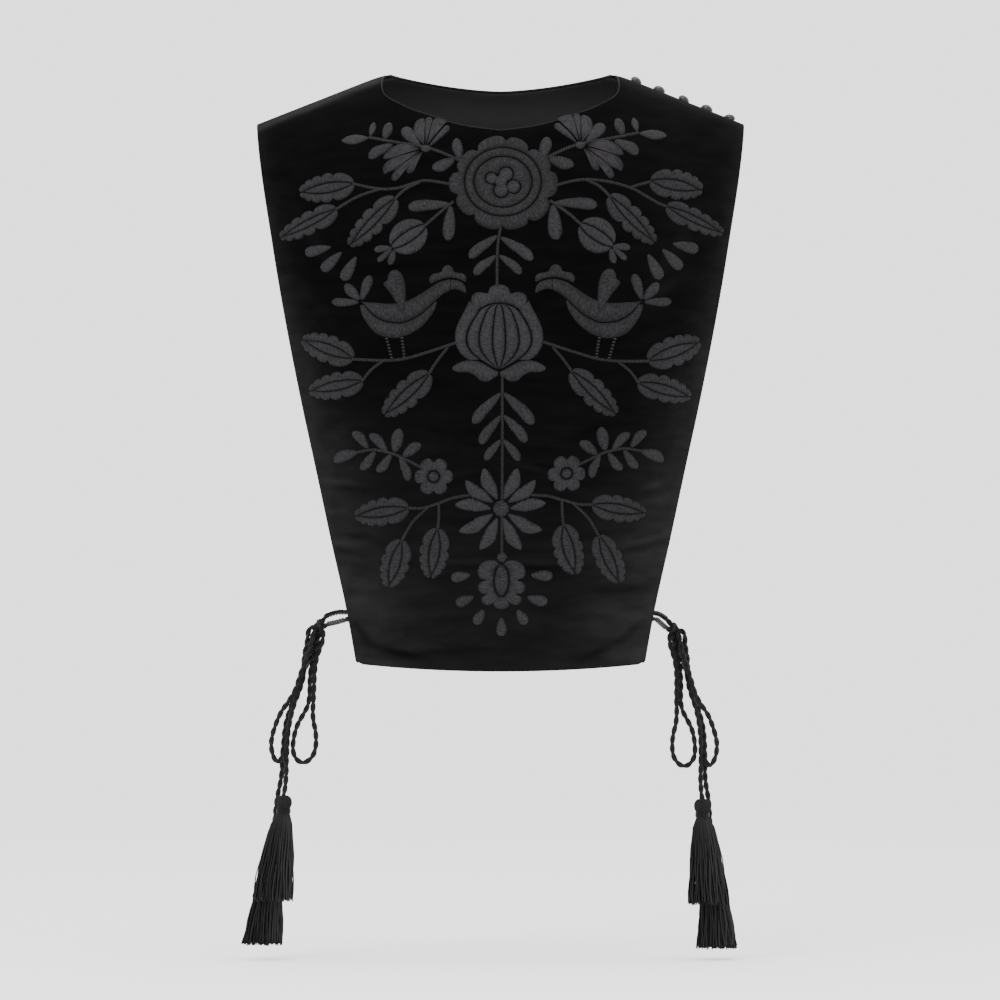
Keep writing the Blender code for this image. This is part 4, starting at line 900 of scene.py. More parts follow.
        v = np.arange(LEAF_LOBE_ROWS)[:, None] / LEAF_LOBE_ROWS
        for side, cuts in zip((1, -1), np.array(LEAF_CUTS)):
            half = 0.5 * width * 0.74 * crown((cuts - 0.35) / 0.65, 3.2)
            half[[0, -1]] = (0.4, 0.2)
            corners = np.stack([cuts * length, half], axis=1)
            outer, at = [], []
            for k, chord in enumerate(np.diff(corners, axis=0)):
                bulge = (0.33 if k else 0.27) * np.sqrt(1 - (2 * v - 1) ** 2)
                outer.append(corners[k] + v * chord + bulge * (-chord[1], chord[0]))
                at.append(cuts[k] + v[:, 0] * (cuts[k + 1] - cuts[k]))
            run, away = np.vstack(outer + [corners[-1:]]).T
            t = np.concatenate(at + [np.ones(1)])
            line, across = spine(base, tip, run / length)
            outer = line + side * away[:, None] * across
            gap = side * (lens(t) + 0.65 * VEIN * np.clip(t / 0.1, 0.15, 1))
            self.rails(outer, spine(base, tip, np.clip(t, 0.012, 0.985))[0] + gap[:, None] * across, columns=8)
        t = np.linspace(0.03, 0.935, max(16, int(length / 1.2)))
        line, across = spine(base, tip, t)
        middle = np.maximum(lens(t) - 0.1, 0.12)[:, None] * across
        self.rails(line + middle, line - middle, rise=0.95)


def spine(base, tip, t, bend=0):
    """Points along the middle of a leaf, which may bend to a side, and the way across it."""
    axis = np.subtract(tip, base)
    across = left_of(axis[None])[0]
    bow = bend * np.sin(pi * t) * np.where(t > 0.5, 1, 0.6)
    return base + axis * t[:, None] + across * bow[:, None], across


def bulb_half(down):
    return columns_at(TULIP_WIDTHS, down)[0]


def beside(centre, side, points):
    """Points counted from a centre line, on one side of it."""
    return np.array(points) * (side, 1) + (centre, 0)


def both_sides(half):
    """A half outline from the side to the middle, and its mirror image back, about the tulip's centre."""
    return np.vstack([beside(TULIP_CENTRE, 1, half), beside(TULIP_CENTRE, -1, half[-2::-1])])


def stitch_tulip(chart):
    down = np.linspace(TULIP_WIDTHS[0][0], TULIP_WIDTHS[-1][0], 64)
    half = np.convolve(np.pad(bulb_half(down), 2, mode="edge"), np.ones(5) / 5, mode="valid")
    line = stacked(TULIP_CENTRE, down)
    chart.patches(line, np.array((1, 0)), half, TULIP_SHARES, 0.25, rise=0.95, mirror=False)
    chart.curves(both_sides(CROWN_TOP), both_sides(CROWN_FOOT), mirror=False)
    rows = np.linspace(*SIDE_PETAL_ROWS, 10)
    inner = np.stack([bulb_half(rows) + 2 * VEIN, rows], axis=1)
    for side in (1, -1):
        for a, b in ((SIDE_PETAL_OUT, inner), (FOOT_LEAF_TOP, FOOT_LEAF_LOW)):
            chart.curves(beside(TULIP_CENTRE, side, a), beside(TULIP_CENTRE, side, b), mirror=False)


def stitch_bird(chart):
    belly_line = np.array(BIRD_BELLY_LINE)
    chart.curves(BIRD_BACK, np.vstack([belly_line - (0, VEIN), BIRD_CHIN]), ends=False)
    chart.curves(BIRD_HEAD, BIRD_BEAK, ends=False)
    chart.curves(belly_line + (0, VEIN), BIRD_BELLY)
    chart.curves(BIRD_WING_OUT, BIRD_WING_IN, over=0.9)
    chart.curves(CREST_TOP, CREST_FOOT)
    for top, foot in np.array(LEGS):
        for t in np.arange(LEG_BEADS) / (LEG_BEADS - 1):
            chart.dome(*(top + (foot - top) * t), 1.9, 1.35, rings=3, sides=8)


def stitch_rose(chart):
    centre = np.array(ROSE)
    first, second = np.array(ROSE_GROOVES)
    outer = []
    v = np.arange(14)[:, None] / 14
    for (x0, y0, swell), (x1, y1, _) in zip(ROSE_NOTCHES, ROSE_NOTCHES[1:] + ROSE_NOTCHES[:1]):
        chord = np.array((x1 - x0, y1 - y0))
        away = unit(np.array((chord[1], -chord[0])))
        outer.append(centre + (x0, y0) + v * chord + swell * np.sqrt(1 - np.abs(2 * v - 1) ** 2.4) * away)
    outer = np.vstack(outer)
    from_centre = outer - centre
    spokes = circle(np.arctan2(from_centre[:, 1], from_centre[:, 0]))
    chart.rails(outer, centre + spokes * (first + VEIN), around=True, mirror=False)
    spokes = circle(angles(120))
    chart.rails(centre + spokes * (first - VEIN), centre + spokes * (second + VEIN), around=True, mirror=False)
    reach = np.zeros(len(spokes))
    for across, below, radius in ROSETTE:
        toward = across * spokes[:, 0] + below * spokes[:, 1]
        aside = across * spokes[:, 1] - below * spokes[:, 0]
        reach = np.maximum(reach, toward + np.sqrt(np.maximum(0, radius**2 - aside**2)))
    inner = centre + spokes * (reach + 1.6 * VEIN)[:, None]
    chart.rails(centre + spokes * (second - VEIN), inner, around=True, mirror=False)
    for across, below, radius in ROSETTE:
        chart.dome(*(centre + (across, below)), radius - 0.2, radius - 0.2, mirror=False)


def stitch_sprig_flower(chart):
    out, down, radius, heart, lobes = SPRIG_FLOWER
    a = angles(lobes * 14)
    spokes = circle(a + radians(30))
    lobed = radius * (1 - SPRIG_NOTCH * (1 - np.abs(np.sin(lobes * a / 2))) ** 1.6)
    chart.rails((out, down) + spokes * lobed[:, None], (out, down) + spokes * (heart + 0.7), around=True)
    chart.dome(out, down, heart, heart, rise=0.9)


def stitch_bud(chart):
    base, tip, width = BUD
    t = np.linspace(0.01, 0.99, 34)
    half = 0.5 * width * np.sin(pi * t**1.04) ** 0.44
    chart.patches(*spine(base, tip, t), half, BUD_SHARES, 0.2)


def stitch_foot_flower(chart):
    for side in (1, -1):
        chart.curves(beside(FOOT_CENTRE, side, FOOT_OUT), beside(FOOT_CENTRE, side, FOOT_IN), mirror=False)
    chart.dome(FOOT_CENTRE, 580, 7.1, 15.6, rise=0.95, mirror=False, sides=28)
    chart.dome(FOOT_CENTRE, 602.8, 8.6, 6.6, mirror=False)
    chart.leaf(*CENTRE_DROP, 0, PETAL, mirror=False)


def embroider():
    thread = thread_material("grey_thread")
    flowers = Chart()
    flowers.light = ROSE_LIGHT
    stitch_rose(flowers)
    flowers.light = FLOWER_LIGHT
    for stitch in (stitch_tulip, stitch_sprig_flower, stitch_foot_flower, stitch_bud):
        stitch(flowers)
    for row in PETALS:
        flowers.leaf(*row, 0, PETAL)
    for root, edge in FANS:
        flowers.fan_band(root, edge)
    flowers.dome(*FAN_HEART, rise=1.2)
    flowers.dome(*STEM_FOOT, mirror=False)
    flowers.dome(*STAR_HEART, rise=1.1, mirror=False, sides=28)
    leaves = Chart()
    leaves.light = SCALLOPED_LIGHT
    for row in SCALLOPED_LEAVES:
        leaves.scalloped_leaf(*row)
    for rows, form, light, mirror in LEAF_SETS:
        leaves.light = light
        for row in rows:
            leaves.leaf(*row, form, mirror)
    birds = Chart()
    birds.light = BIRD_LIGHT
    stitch_bird(birds)
    stems = Chart()
    for points in STEMS:
        stems.stem(points)
    for points in CENTRE_STEMS:
        stems.stem(points, mirror=False)
    charts = {"flowers": flowers, "leaves": leaves, "birds": birds, "stems": stems}
    return [chart.build(f"embroidery_{name}", [thread], "velvet") for name, chart in charts.items()]


# ---- buttons on the left shoulder

BUTTON_FIRST_X = 0.1075
BUTTON_LAST_X = 0.1835
BUTTON_TILTS = ((0.40, -0.24), (0.06, -0.20), (0.40, -0.16), (0.02, -0.20), (-0.45, -0.24))
BUTTON_BEHIND = 0.0085
BUTTON_RADIUS = 0.0053
BUTTON_LIFT = 0.0016
BUTTON_CROWN = 0.0046
BUTTON_RIM = 0.00065
BUTTON_DOME_TURN = 84  # degrees of the dome from its top to the rim
BUTTON_SUNK = 0.0010  # into the pile, behind the front's edge
SHANK_RADIUS = 0.0013
SHOULDER_REACH = 0.060
LOOP_RADIUS = 0.0005
LOOP_LIFT = 0.0003
LOOP_SUNK = -0.0006
LOOP_HALF_WIDTH = 0.0026
LOOP_START = 0.0045


def shoulder_frame(x, behind):
    """A point of the cloth at a depth behind the shoulder line, with its normal."""
    front = behind < 0
    x = np.array(x, float)
    low, high = 0.0, SHOULDER_REACH
    for _ in range(30):
        s = (low + high) / 2
        past = abs(cloth_point(x, np.array(s), front)[1] - ridge_y(x)) < abs(behind)
        low, high = (s, high) if past else (low, s)
    return cloth_point(x, np.array(low), front), cloth_normal(x, np.array(low), front)


def turned(profile, sides, base, axis):
    """A turned body about an axis: rows round it, columns down the profile."""
    axis = unit(np.asarray(axis, float))
    across = unit(np.cross(axis, (0.31, 0.82, 0.47)))
    a = angles(sides)[:, None]
    spoke = np.cos(a) * across + np.sin(a) * np.cross(axis, across)
    profile = np.asarray(profile, float)
    points = base + spoke[:, None] * profile[None, :, :1] + axis * profile[None, :, 1:]
    return points, stacked(run_along(profile), a * BUTTON_RADIUS)


def button_profile():
    """A domed button with a rolled rim and a shank."""
    rim = BUTTON_RIM
    profile = [(0, BUTTON_LIFT + BUTTON_CROWN)]
    for turn in np.radians(BUTTON_DOME_TURN * np.arange(1, 15) / 14):
        profile.append(((BUTTON_RADIUS - 0.0004) * sin(turn) / sin(radians(BUTTON_DOME_TURN)),
                        BUTTON_LIFT + 1.5 * rim + (BUTTON_CROWN - 1.5 * rim) * cos(turn)))
    for turn in np.radians(80 - 170 * np.arange(7) / 6):
        profile.append((BUTTON_RADIUS - rim + rim * cos(turn), BUTTON_LIFT + rim + rim * sin(turn)))
    return profile + [(BUTTON_RADIUS * 0.70, BUTTON_LIFT - 0.0004), (SHANK_RADIUS * 1.9, BUTTON_LIFT - 0.0007),
                      (SHANK_RADIUS * 1.5, 0.0003), (SHANK_RADIUS, 0), (0, 0)]


def sew_buttons():
    gloss = button_material()
    braid = thread_material("loop_braid")
    half = LOOP_HALF_WIDTH
    leg = [(half, -LOOP_START - 0.0015), (half, -LOOP_START * 0.5), (half, BUTTON_BEHIND * 0.4)]
    bow = [(half * cos(a), BUTTON_BEHIND + half * sin(a)) for a in np.radians(180 - 30 * np.arange(7))]
    across = [(-along, behind) for along, behind in leg] + bow + leg[::-1]
    lifts = [LOOP_SUNK] + [LOOP_RADIUS + LOOP_LIFT] * (len(across) - 2) + [LOOP_SUNK]
    for number, (tilt_x, tilt_y) in enumerate(BUTTON_TILTS, 1):
        x = BUTTON_FIRST_X + (BUTTON_LAST_X - BUTTON_FIRST_X) * (number - 1) / (len(BUTTON_TILTS) - 1)
        place, normal = shoulder_frame(x, BUTTON_BEHIND)
        tilted = normal + (tilt_x, tilt_y, 0)
        button = Piece()
        points, stitch = turned(button_profile(), 40, place - normal * BUTTON_SUNK, tilted)
        button.grid(points, stitch, around=True, flip=True)
        button.build(f"gloss_button_{number}", [gloss], "button", f"shoulder_button_{number}")

        route = []
        for (along, behind), lift in zip(across, lifts):
            place, normal = shoulder_frame(x + along, behind)
            route.append(place + normal * lift)
        loop = Piece()
        plied(loop, smooth_path(route, 8), 0.00030, 0.00024, 0.0017, 0.00024, 6)
        loop.build(f"braid_loop_{number}", [braid], "cord", f"button_loop_{number}")


# ---- twisted cords


def carried_frame(path):
    """Two normals carried along a path without turning about it."""
    tangent = unit(np.gradient(path, axis=0))
    normals = [unit(np.cross(tangent[0], (0.12, 0.93, 0.35)))]
    for t in tangent[1:]:
        normals.append(unit(normals[-1] - t * (normals[-1] @ t)))
    normals = np.array(normals)
    return normals, np.cross(tangent, normals)


def round_line(line, radius, turn):
    """Points round a line at the given turns, a row of them for each of its points."""
    n, b = carried_frame(line)
    spoke = np.cos(turn)[:, None] * n[:, None] + np.sin(turn)[:, None] * b[:, None]
    return line[:, None] + np.reshape(radius, (-1, 1, 1)) * spoke


def plied(piece, route, ply, orbit, pitch, step, sides, joined=False):
    """A rope of two plies wound round a route, each ply with painted shade on its side turned in towards the
    other; one that is joined up has no caps and no painted shade.
    """
    count = max(12, int(length_of(route) / step))
    path = respaced(route, count)
    run = np.linspace(0, length_of(path), count)[:, None]
    n, b = carried_frame(path)
    turn = angles(sides)
    ring = np.arange(sides)
    for k in range(2):
        a = 2 * pi * (run / pitch + k / 2)
        centre = path + orbit * (np.cos(a) * n + np.sin(a) * b)
        points = round_line(centre, ply, turn)
        # painted shade on each ply's inner side, where it turns in to the other ply
        painted_relief_light = 1 if joined else 0.1 + 1.3 * np.cos(a - turn)
        piece.grid(points, stacked(run, turn * ply + run * 0.9, painted_relief_light), across_round=True)
        for row, flip in () if joined else ((0, False), (-1, True)):
            faces = np.stack([ring, (ring + 1) % sides, np.full(sides, sides)], axis=1)
            cap = np.vstack([points[row], centre[row]])
            piece.add(cap, faces if flip else faces[:, ::-1], np.zeros((sides + 1, 3)))


def hair(piece, line, first, last, sides, tone=1):
    """One thread along a line."""
    turn = angles(sides)
    points = round_line(line, np.linspace(first, last, len(line)), turn)
    aside = turn * first + 0.0031 * (piece.count % 997)
    piece.grid(points, stacked(run_along(line)[:, None], aside, tone), across_round=True)
    if sides == 3:
        piece.add(points[-1], [[0, 1, 2]], np.zeros((3, 2)))


# ---- side ties

TIE_Y = -0.008
TIE_Z = {True: -0.4150, False: -0.4110}  # of the front and the back
EXIT_RUN = 0.004
STRAND_RISE = {True: -0.0007, False: 0.0010}  # of the strands' middles, front and back
STRAND_ENDS = {True: (-6.6, -3.4, -0.6), False: (-5.6, 3.4, -7.2)}
TIES = (
    # name, side, knot out, knot height, lean of the bow towards the body
    ("left", -1, 0.1446, -0.4204, 0), ("right", 1, 0.1384, -0.4232, 0.043),
)
# Routes from the knot: out from the body, depth, down, in millimetres
INNER_LOOP = (
    (-3.2, -2.1, 5.8), (-2.2, -2.1, 14), (1.6, -2.1, 24.4), (3.6, -2.1, 34.8), (4.2, -2.1, 46),
    (4.6, -2.1, 57), (5.2, -2.1, 67), (5, -2.1, 76), (3.1, -2, 85.2), (2.8, -2, 94.8), (4.4, -1.8, 103),
    (9, -1.2, 108.8), (13.8, -0.5, 110.4), (18.4, 0.5, 107.6), (21.2, 1.4, 101.2), (20.6, 2, 90.8),
    (17.8, 2.1, 80.4), (13.2, 2.1, 72), (9.4, 2.1, 64.8), (8, 2.1, 56), (7.8, 2.1, 46), (6.8, 2.1, 34.8),
    (4.6, 2.1, 24.4), (1.6, 2.1, 14), (0.6, 2.1, 5.8),
)
OUTER_LOOP = (
    (4.6, -3, 5.8), (6.4, -3.6, 14), (8.6, -4.2, 22.2), (12.4, -4.2, 32), (15.8, -4.2, 42),
    (19.4, -4.2, 52.4), (24.6, -4, 61.2), (30.4, -3.6, 69.4), (35.2, -3.2, 80.4), (38.2, -2.6, 91),
    (38.4, -1.8, 99), (36.6, -0.8, 106), (33.4, 0, 110.4), (30.2, 1.2, 106.6), (29.2, 2.6, 99),
    (28.4, 3.6, 88.4), (26.4, 4.2, 76.4), (22.4, 4.2, 64.4), (18, 4.2, 52.4), (14.8, 4.2, 42),
    (11.2, 4.2, 31.6), (8.4, 4.2, 22), (5.6, 3.6, 14), (4.4, 2.6, 5.8),
)
FRONT_TAIL = (
    (7, 0, 1.6), (8.4, 0, 3.6), (9.4, 0, 7.2), (9.6, 0, 12.4), (11.6, 0, 22), (12.6, 0, 30), (12.8, 0, 41.2),
    (16, 0, 52.4), (20, 0, 62.8), (23.2, 0, 74.8), (25.2, 0, 86.8), (25.9, 0, 98.8), (26.4, 0, 110),
    (26.6, -0.6, 120.4), (27.4, -2, 130), (28.4, -3.6, 135.4),
)
BACK_TAIL = (
    (3.2, 6.8, 5.2), (4, 7.8, 14), (6.4, 8.4, 22), (10.4, 8.4, 31.6), (14, 8.4, 42), (16.8, 8.4, 52.4),
    (21.2, 8.4, 64.4), (24.8, 8.2, 76.4), (27.4, 7.8, 88.4), (28.6, 7, 98.8), (29.8, 5.8, 108.4),
    (30.2, 5.2, 117.2), (31.4, 5.2, 126), (33.5, 7, 135.6), (35.1, 9.6, 146), (36.2, 12, 158),
    (36.9, 12.8, 167.6),
)
LOOPS, TAILS = (INNER_LOOP, OUTER_LOOP), (FRONT_TAIL, BACK_TAIL)
TASSELS = (
    # name, out, depth, down, swing out, swing in depth
    ("front", 28.6, -3.8, 136.2, 8.6, -3.5), ("back", 37, 12.9, 168.4, 8.9, 3),
)
TASSEL_LENGTH = 0.084
SKIRT_DROP = 0.0142  # from the top of the head to the roots of the loose threads
TAIL_RUN_ON = (0.06, 0.18, 0.29)  # the cord inside its tassel, in shares of the tassel's length
PLY, ORBIT, PITCH = 0.00136, 0.00086, 0.0150
ROPE_STEP = 0.00095
KNOT_SOFTENING = 8
HEAD_PROFILE = (
    # radius, below the top, millimetres
    (1.7, 0.3), (3.6, 0.5), (5, 1.5), (6, 3), (6.4, 4.8), (6.4, 6.6), (6, 8.2), (5.3, 9.6), (4.9, 10.6),
    (5, 11.2), (5.4, 11.7), (5.5, 12.3), (5.3, 12.9), (5.5, 13.5), (5.4, 14.2), (5.1, 14.8), (4, 15.6),
)
THREADS = (
    # threads, root radius, end radius across, end radius in depth, millimetres
    (104, 4.5, 15.4, 9.6), (76, 3.6, 12, 7.4), (50, 2.2, 8, 5.2), (30, 0.9, 4, 2.6),
)


def tie_point(tie, out, depth, down):
    """From the knot in millimetres to the garment's frame."""
    _, side, knot_out, knot_z, lean = tie
    return np.array((side * (knot_out + (out - lean * down) * MM), TIE_Y + depth * MM, knot_z - down * MM))


def tie_points(tie, rows):
    return np.array([tie_point(tie, *row) for row in rows])


def edge_exit(side, front):
    """Where a tie leaves the side edge of a panel, and its direction out of it."""
    height, roll = TIE_Z[front], ROLL[front]
    x = np.array(HEM_HALF)
    for _ in range(8):
        x = side_x(cloth_s(ridge_z(x) - height, roll), front)
    s = cloth_s(ridge_z(x) - height, roll)
    normal = cloth_normal(side * x, s, front)
    thickness = WALL if front else WALL + GAP + LINING
    middle = cloth_point(side * x, s, front) - normal * thickness / 2
    above, below = (cloth_point(side * side_x(at, front), at, front) for at in (s - EXIT_RUN, s + EXIT_RUN))
    out = np.cross(below - above, normal)
    return middle, out * side * np.sign(out[0]) / np.linalg.norm(out)


def strand_path(tie, front):
    """From inside a panel's edge to the side of the knot."""
    side = tie[1]
    start, out = edge_exit(side, front)
    end = tie_point(tie, *STRAND_ENDS[front])
    middle = (start + end) / 2 + (side * 0.002, 0, STRAND_RISE[front])
    return start + out * GAP, smooth_path([start - out * 0.001, start + out * EXIT_RUN, middle, end], 14)


def build_knot(tie, thread):
    """A low trefoil of cord over the crossing, and the body of the crossing under it."""
    knot = Piece()
    a = angles(96)
    out = (np.sin(a) + 1.75 * np.sin(2 * a)) * 1.30
    down = (np.cos(a) - 1.75 * np.cos(2 * a)) * 1.16
    loop = tie_points(tie, stacked(out, -np.sin(3 * a) * 2.6, down))
    plied(knot, np.vstack([loop, loop[:6]]), 0.00100, 0.00072, 0.0075, 0.0006, 8, joined=True)
    theta, phi = pi * np.arange(15) / 14, angles(24)[:, None]
    core = stacked(3.6 * np.sin(theta) * np.cos(phi), 4.2 * np.sin(theta) * np.sin(phi), 3.4 * np.cos(theta))
    points = tie_points(tie, core.reshape(-1, 3)).reshape(core.shape)
    knot.grid(points, core[..., :2] * MM, around=True, flip=tie[1] < 0)
    return knot.build(f"cord_knot_{tie[0]}", [thread], "cord", f"tie_knot_{tie[0]}")


def build_tassel(tie, row, thread):
    """A turned head wound with thread, and a skirt of loose threads."""
    label, out, depth, down, swing, deep_swing = row
    name, side, _, _, lean = tie
    front = label == "front"
    top = tie_point(tie, out, depth, down)
    tassel = Piece()
    head = np.array(HEAD_PROFILE) * (MM, -MM)
    points, stitch = turned(np.vstack([(0, -0.0002), head, (0, -0.0156)]), 48, top, (0, 0, 1))
    tassel.grid(points, stitch[..., ::-1], around=True, flip=True)
    # Threads over the head, drawn down under the neck
    for k in range(44):
        a = 2 * pi * k / 44
        line = head[:10, :1] * (cos(a), sin(a), 0) + head[:10, 1:] * (0, 0, 1) + top
        hair(tassel, line, 0.00034, 0.00034, 4, 0.7 if k % 3 else -0.7)
    # Turns of thread round the neck
    for k in range(5):
        a = 2 * pi * np.arange(37) / 36
        line = stacked(0.0054 * np.cos(a), 0.0054 * np.sin(a), -0.0112 - 0.00072 * k) + top
        hair(tassel, line, 0.00042, 0.00042, 5, -0.6)
    swing = side * (swing - lean * TASSEL_LENGTH / MM)
    rng = np.random.default_rng(11 + 7 * len(label) + (3 if side > 0 else 0))
    t = np.linspace(0, 1, 9)
    for count, root, across_end, deep_end in THREADS:
        for k in range(count):
            a = 2 * pi * (k + rng.uniform(-0.4, 0.4)) / count
            # painted highlight: every third thread of the outer rings lies outermost, a little thicker, and is
            # painted lighter
            highlit = root > 3 and k % 3 == 0
            reach = rng.uniform(1.02, 1.05) if highlit else rng.uniform(0.90, 1.01)
            length = (TASSEL_LENGTH - SKIRT_DROP) * rng.uniform(0.955, 1.01) * (1 if front else 1.06)
            spread = t ** (0.52 if front else 0.8) * reach
            phase, wave = rng.uniform(0, 6.28), rng.uniform(0.3, 1)
            waving = wave * t**0.7
            across = (root + (across_end - root) * spread) * cos(a) + swing * t**0.78
            across = across + waving * np.sin(8 * t + phase) * 1.5
            deep = (root + (deep_end - root) * spread) * sin(a) + deep_swing * t
            deep = deep + waving * np.cos(6.1 * t + phase) * 0.8
            line = top + np.stack([across * MM, deep * MM, -SKIRT_DROP - t * length], axis=1)
            # painted highlight on those outermost threads; the other threads differ in tone at random
            tone = rng.uniform(1.4, 2.4) if highlit else rng.uniform(-1.2, 0.6)
            hair(tassel, line, 0.00046, 0.00064 if highlit else 0.00054, 3, tone)
    return tassel.build(f"thread_tassel_{label}_{name}", [thread], "tassel", f"tassel_{label}_{name}")


def tie_cords():
    cord = thread_material("black_cord")
    fringe = thread_material("tassel_thread")
    for tie in TIES:
        name = tie[0]
        knot = build_knot(tie, cord)
        tassels = [build_tassel(tie, row, fringe) for row in TASSELS]
        centre = tie_point(tie, 0, 0, 0)
        for row, tassel, kind, loop, tail in zip(TASSELS, tassels, ("inner", "outer"), LOOPS, TAILS):
            label, out, depth, down, swing, deep_swing = row
            front = label == "front"
            exit_point, strand = strand_path(tie, front)
            inside_it = [(out + swing * t, depth + deep_swing * t, down + TASSEL_LENGTH / MM * t)
                         for t in TAIL_RUN_ON]
            loop = smooth_path(tie_points(tie, loop), 8)
            tail = smooth_path(tie_points(tie, tail + tuple(inside_it)), 8)
            through = 0.25 * (loop[0] + loop[-1]) + 0.5 * centre
            hidden = through if front else centre + (0, 0.0012, 0)
            path = np.vstack([strand, hidden, loop, hidden, tail])
            path = respaced(path, int(length_of(path) / ROPE_STEP))
            for _ in range(KNOT_SOFTENING):
                path[1:-1] = (path[:-2] + 2 * path[1:-1] + path[2:]) / 4
            rope = Piece()
            plied(rope, path, PLY, ORBIT, PITCH, ROPE_STEP, 8)
            solids = (f"tie_{label}_strand_{name}", f"tie_{kind}_loop_{name}", f"tie_{label}_tail_{name}")
            piece = rope.build(f"twisted_cord_{label}_{name}", [cord], "cord", *solids)


# ---- the vest

PAINTED_SHEEN_ROWS = (
    # down, how much painted sheen the middle gets, how much more is painted near the side, how far that
    # reaches in, in millimetres
    (0, 0.08, 0.24, 9), (60, 0.06, 0.24, 9), (140, 0.05, 0.42, 10), (210, 0.06, 0.56, 17),
    (260, 0.1, 0.6, 23), (320, 0.16, 0.62, 30), (390, 0.25, 0.46, 36), (480, 0.3, 0.32, 44),
)
PAINTED_CREASE_LIGHT = (
    # painted light and shade along the creases: across, height, half length, half width in millimetres, how
    # much lighter (darker where below zero), turn
    (-128, -306, 16, 2.4, 0.26, -8), (-118, -312, 20, 2.4, -0.16, -5), (-130, -330, 12, 2.2, 0.22, 5),
    (-122, -348.5, 22, 2.4, -0.24, -6), (-128, -355, 14, 2, 0.24, -8), (-124, -360.5, 14, 2, -0.22, -10),
    (-118, -372, 18, 2.4, -0.18, -4), (-110, -385, 22, 4.5, 0.14, -10), (-96, -405, 30, 9, 0.2, -8),
    (-110, -425, 12, 3.4, -0.34, -48), (-86, -440, 22, 3.4, -0.32, -14), (-50, -441, 26, 3.4, -0.18, 4),
    (-98, -449, 20, 2.6, 0.24, -8), (-25, -369, 20, 2, 0.14, 0), (-22, -373.5, 22, 2.2, -0.12, 0),
    (34, -370, 20, 2, 0.13, -3), (30, -374.5, 22, 2.2, -0.12, -3), (26, -296, 18, 1.8, 0.14, -14),
    (-34, -300, 14, 2, 0.08, 8), (70, -327, 24, 3, -0.1, -10), (124, -308, 14, 2.4, 0.3, 20),
    (122, -321, 14, 2.2, 0.24, 15), (116, -352, 22, 2.1, 0.32, 14), (116, -357, 20, 2, -0.22, 14),
    (118, -362, 18, 2, 0.28, 12), (104, -392, 36, 4, -0.26, 2), (90, -412, 28, 9, 0.2, 10),
    (104, -423.5, 12, 3.4, -0.3, 42), (80, -439, 20, 3.6, -0.26, 26), (112, -442, 14, 4.4, 0.26, 50),
    (-150, -110, 30, 5, 0.08, -60), (-146, -165, 26, 5, 0.08, -50), (140, -120, 30, 5, 0.1, 55),
    (128, -156, 30, 4.5, 0.08, 40),
)


def front_painted_light(x, z):
    """Painted light on the front's velvet: painted sheen most near the sides and low down, painted light and
    shade along the creases, and painted highlights along the shoulders.
    """
    middle, added, width = columns_at(PAINTED_SHEEN_ROWS, -z / MM)
    inward = np.maximum(column(SIDE_EDGE, 1, z) - np.abs(x), 0) / MM
    painted_light = middle + added * np.exp(-((inward / width) ** 1.3)) + folds_at(PAINTED_CREASE_LIGHT, x, z)
    # painted highlight along the top of the right shoulder; on the left half, painted sheen along the shoulder
    # top and on two patches near the side
    on_shoulder = share((np.abs(x) - NECK_HALF) / 0.006)
    below = ridge_z(x) - z
    right_shoulder_highlight = on_shoulder * np.exp(-(((below - 0.0034) / 0.0034) ** 2))
    left_shoulder_sheen = on_shoulder * share(1 - below / 0.010)
    left_side_sheen = share((x - 0.07) / 0.06) * share((z + 0.27) / 0.12)
    right_low_sheen = share((x - 0.05) / 0.05) * share((-0.30 - z) / 0.07)
    painted_light = painted_light + np.where(x < 0, 0.95 * right_shoulder_highlight, 0.16 * left_shoulder_sheen + 0.07 * left_side_sheen + 0.13 * right_low_sheen)
    return np.clip(painted_light, 0.02, 1)


def back_painted_light(x, z):
    # painted light: painted sheen lighter near the sides and low down, with painted light and shade over the
    # folds
    side = 1 - share((column(SIDE_EDGE, 1, z) - np.abs(x)) / 0.020)
    return 0.10 + 0.46 * side**1.5 + 0.30 * share((-0.20 - z) / 0.26) + 0.11 * folds_at(BACK_FOLDS, x, z)


def edge_roll(name, front, radius, thread, lift, inside_by, trim):
    """A fine rolled edge along a neckline."""
    line = respaced(neck_line(front)[1:-1], 260)[trim:-trim]
    inward = left_of(np.gradient(line, axis=0))
    inward *= 1 if inward[len(inward) // 2][1] > 0 else -1
    line = line + inward * inside_by
    points = on_cloth(line[:, 0], np.maximum(line[:, 1], 0), front, np.full(len(line), lift))
    roll = Piece()
    hair(roll, points, radius, radius, 10)
    return roll.build(name, [thread], "velvet")


SEAM_RADIUS = 0.00055
SEAM_DEPTH = 0.0006


def shoulder_seams(thread):
    """A fine sewn line that closes the gap between front and back along each shoulder."""
    seams = Piece()
    for side in (1, -1):
        x = side * np.linspace(NECK_HALF + 0.0012, SHOULDER_HALF - 0.0006, 60)
        line = sum(cloth_point(x, np.zeros_like(x), front) for front in (True, False)) / 2
        hair(seams, line - (0, 0, SEAM_DEPTH), SEAM_RADIUS, SEAM_RADIUS, 8)
    return seams.build("shoulder_seams", [thread], "velvet")


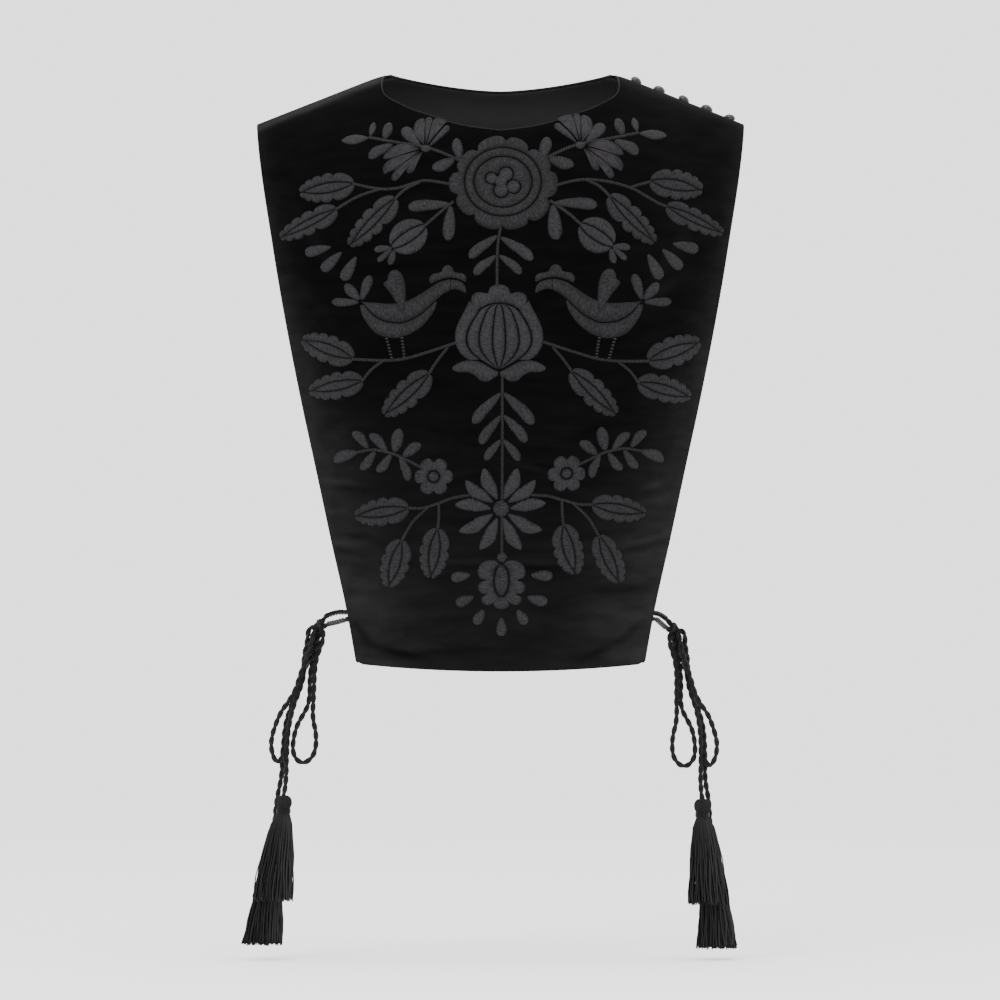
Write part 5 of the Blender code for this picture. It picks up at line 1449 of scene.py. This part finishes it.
def dress():
    velvet, satin = velvet_material(), satin_material()
    under = -WALL - GAP
    front = shell("velvet_front", True, 0, -WALL, [velvet, satin], "velvet", "front_panel", front_painted_light,
                  FRONT_STEP)
    back = shell("velvet_back", False, 0, -WALL, [velvet], "velvet", "back_panel", back_painted_light)
    lining = shell("satin_lining", False, under, under - LINING, [satin], "satin_lining", "back_lining", None,
                   LINING_STEP)
    back_thread = thread_material("back_neck_edge")
    front_edge = edge_roll("neck_edge_front", True, 0.00031, thread_material("neck_edge"), 0.00005, 0.0004, 3)
    back_edge = edge_roll("neck_edge_back", False, 0.0010, back_thread, -WALL * 0.55, 0.0003, 1)
    seams = shoulder_seams(back_thread)
    stitched = embroider() + [seams]
    sew_buttons()
    tie_cords()
    return front, back, lining, stitched, front_edge, back_edge


LIGHTS = (
    # name, place, power, width, height
    ("key", (-1.5, -2.6, 1.3), 66, 1.4, 1.4),
    ("fill", (2.2, -2.6, 0.5), 26, 1.8, 1.8),
    ("top", (0, -0.4, 2.2), 30, 1.8, 1.2),
    ("low", (0, -3, -0.9), 20, 2, 0.8),
)
LIT_POINT = (0, 0, -0.22)
WORLD_STRENGTH = 2.2
FLOOR_RADIUS = 3
FLOOR_BELOW = 0.012
FLOOR_SIDES = 96


def pale_floor():
    """A round pale floor under the hanging tassels."""
    rim = FLOOR_RADIUS * circle(angles(FLOOR_SIDES))
    rim = np.hstack([rim, np.full((FLOOR_SIDES, 1), CAD_BOX[0][2] - FLOOR_BELOW)])
    mesh = bpy.data.meshes.new("floor")
    mesh.from_pydata(rim.tolist(), [], [tuple(range(FLOOR_SIDES))])
    mesh.materials.append(floor_material())
    placed("floor", mesh)


def studio():
    pale_floor()
    for name, place, power, width, height in LIGHTS:
        data = bpy.data.lights.new(name, "AREA")
        data.energy = power
        data.shape = "RECTANGLE"
        data.size = width
        data.size_y = height
        lamp = placed(name, data)
        lamp.location = place
        lamp.rotation_euler = (Vector(LIT_POINT) - Vector(place)).to_track_quat("-Z", "Y").to_euler()
    world = bpy.data.worlds.new("studio")
    world.use_nodes = True
    world.node_tree.nodes["Background"].inputs["Color"].default_value = (1, 1, 1, 1)
    world.node_tree.nodes["Background"].inputs["Strength"].default_value = WORLD_STRENGTH
    bpy.context.scene.world = world
    data = bpy.data.cameras.new("camera")
    data.lens = 270
    data.clip_end = 30
    camera = placed("camera", data)
    camera.location = (-0.0004, -6, -0.3208)
    camera.rotation_euler = (pi / 2, 0, 0)
    bpy.context.scene.camera = camera


front, back, lining, stitched, front_edge, back_edge = dress()
studio()
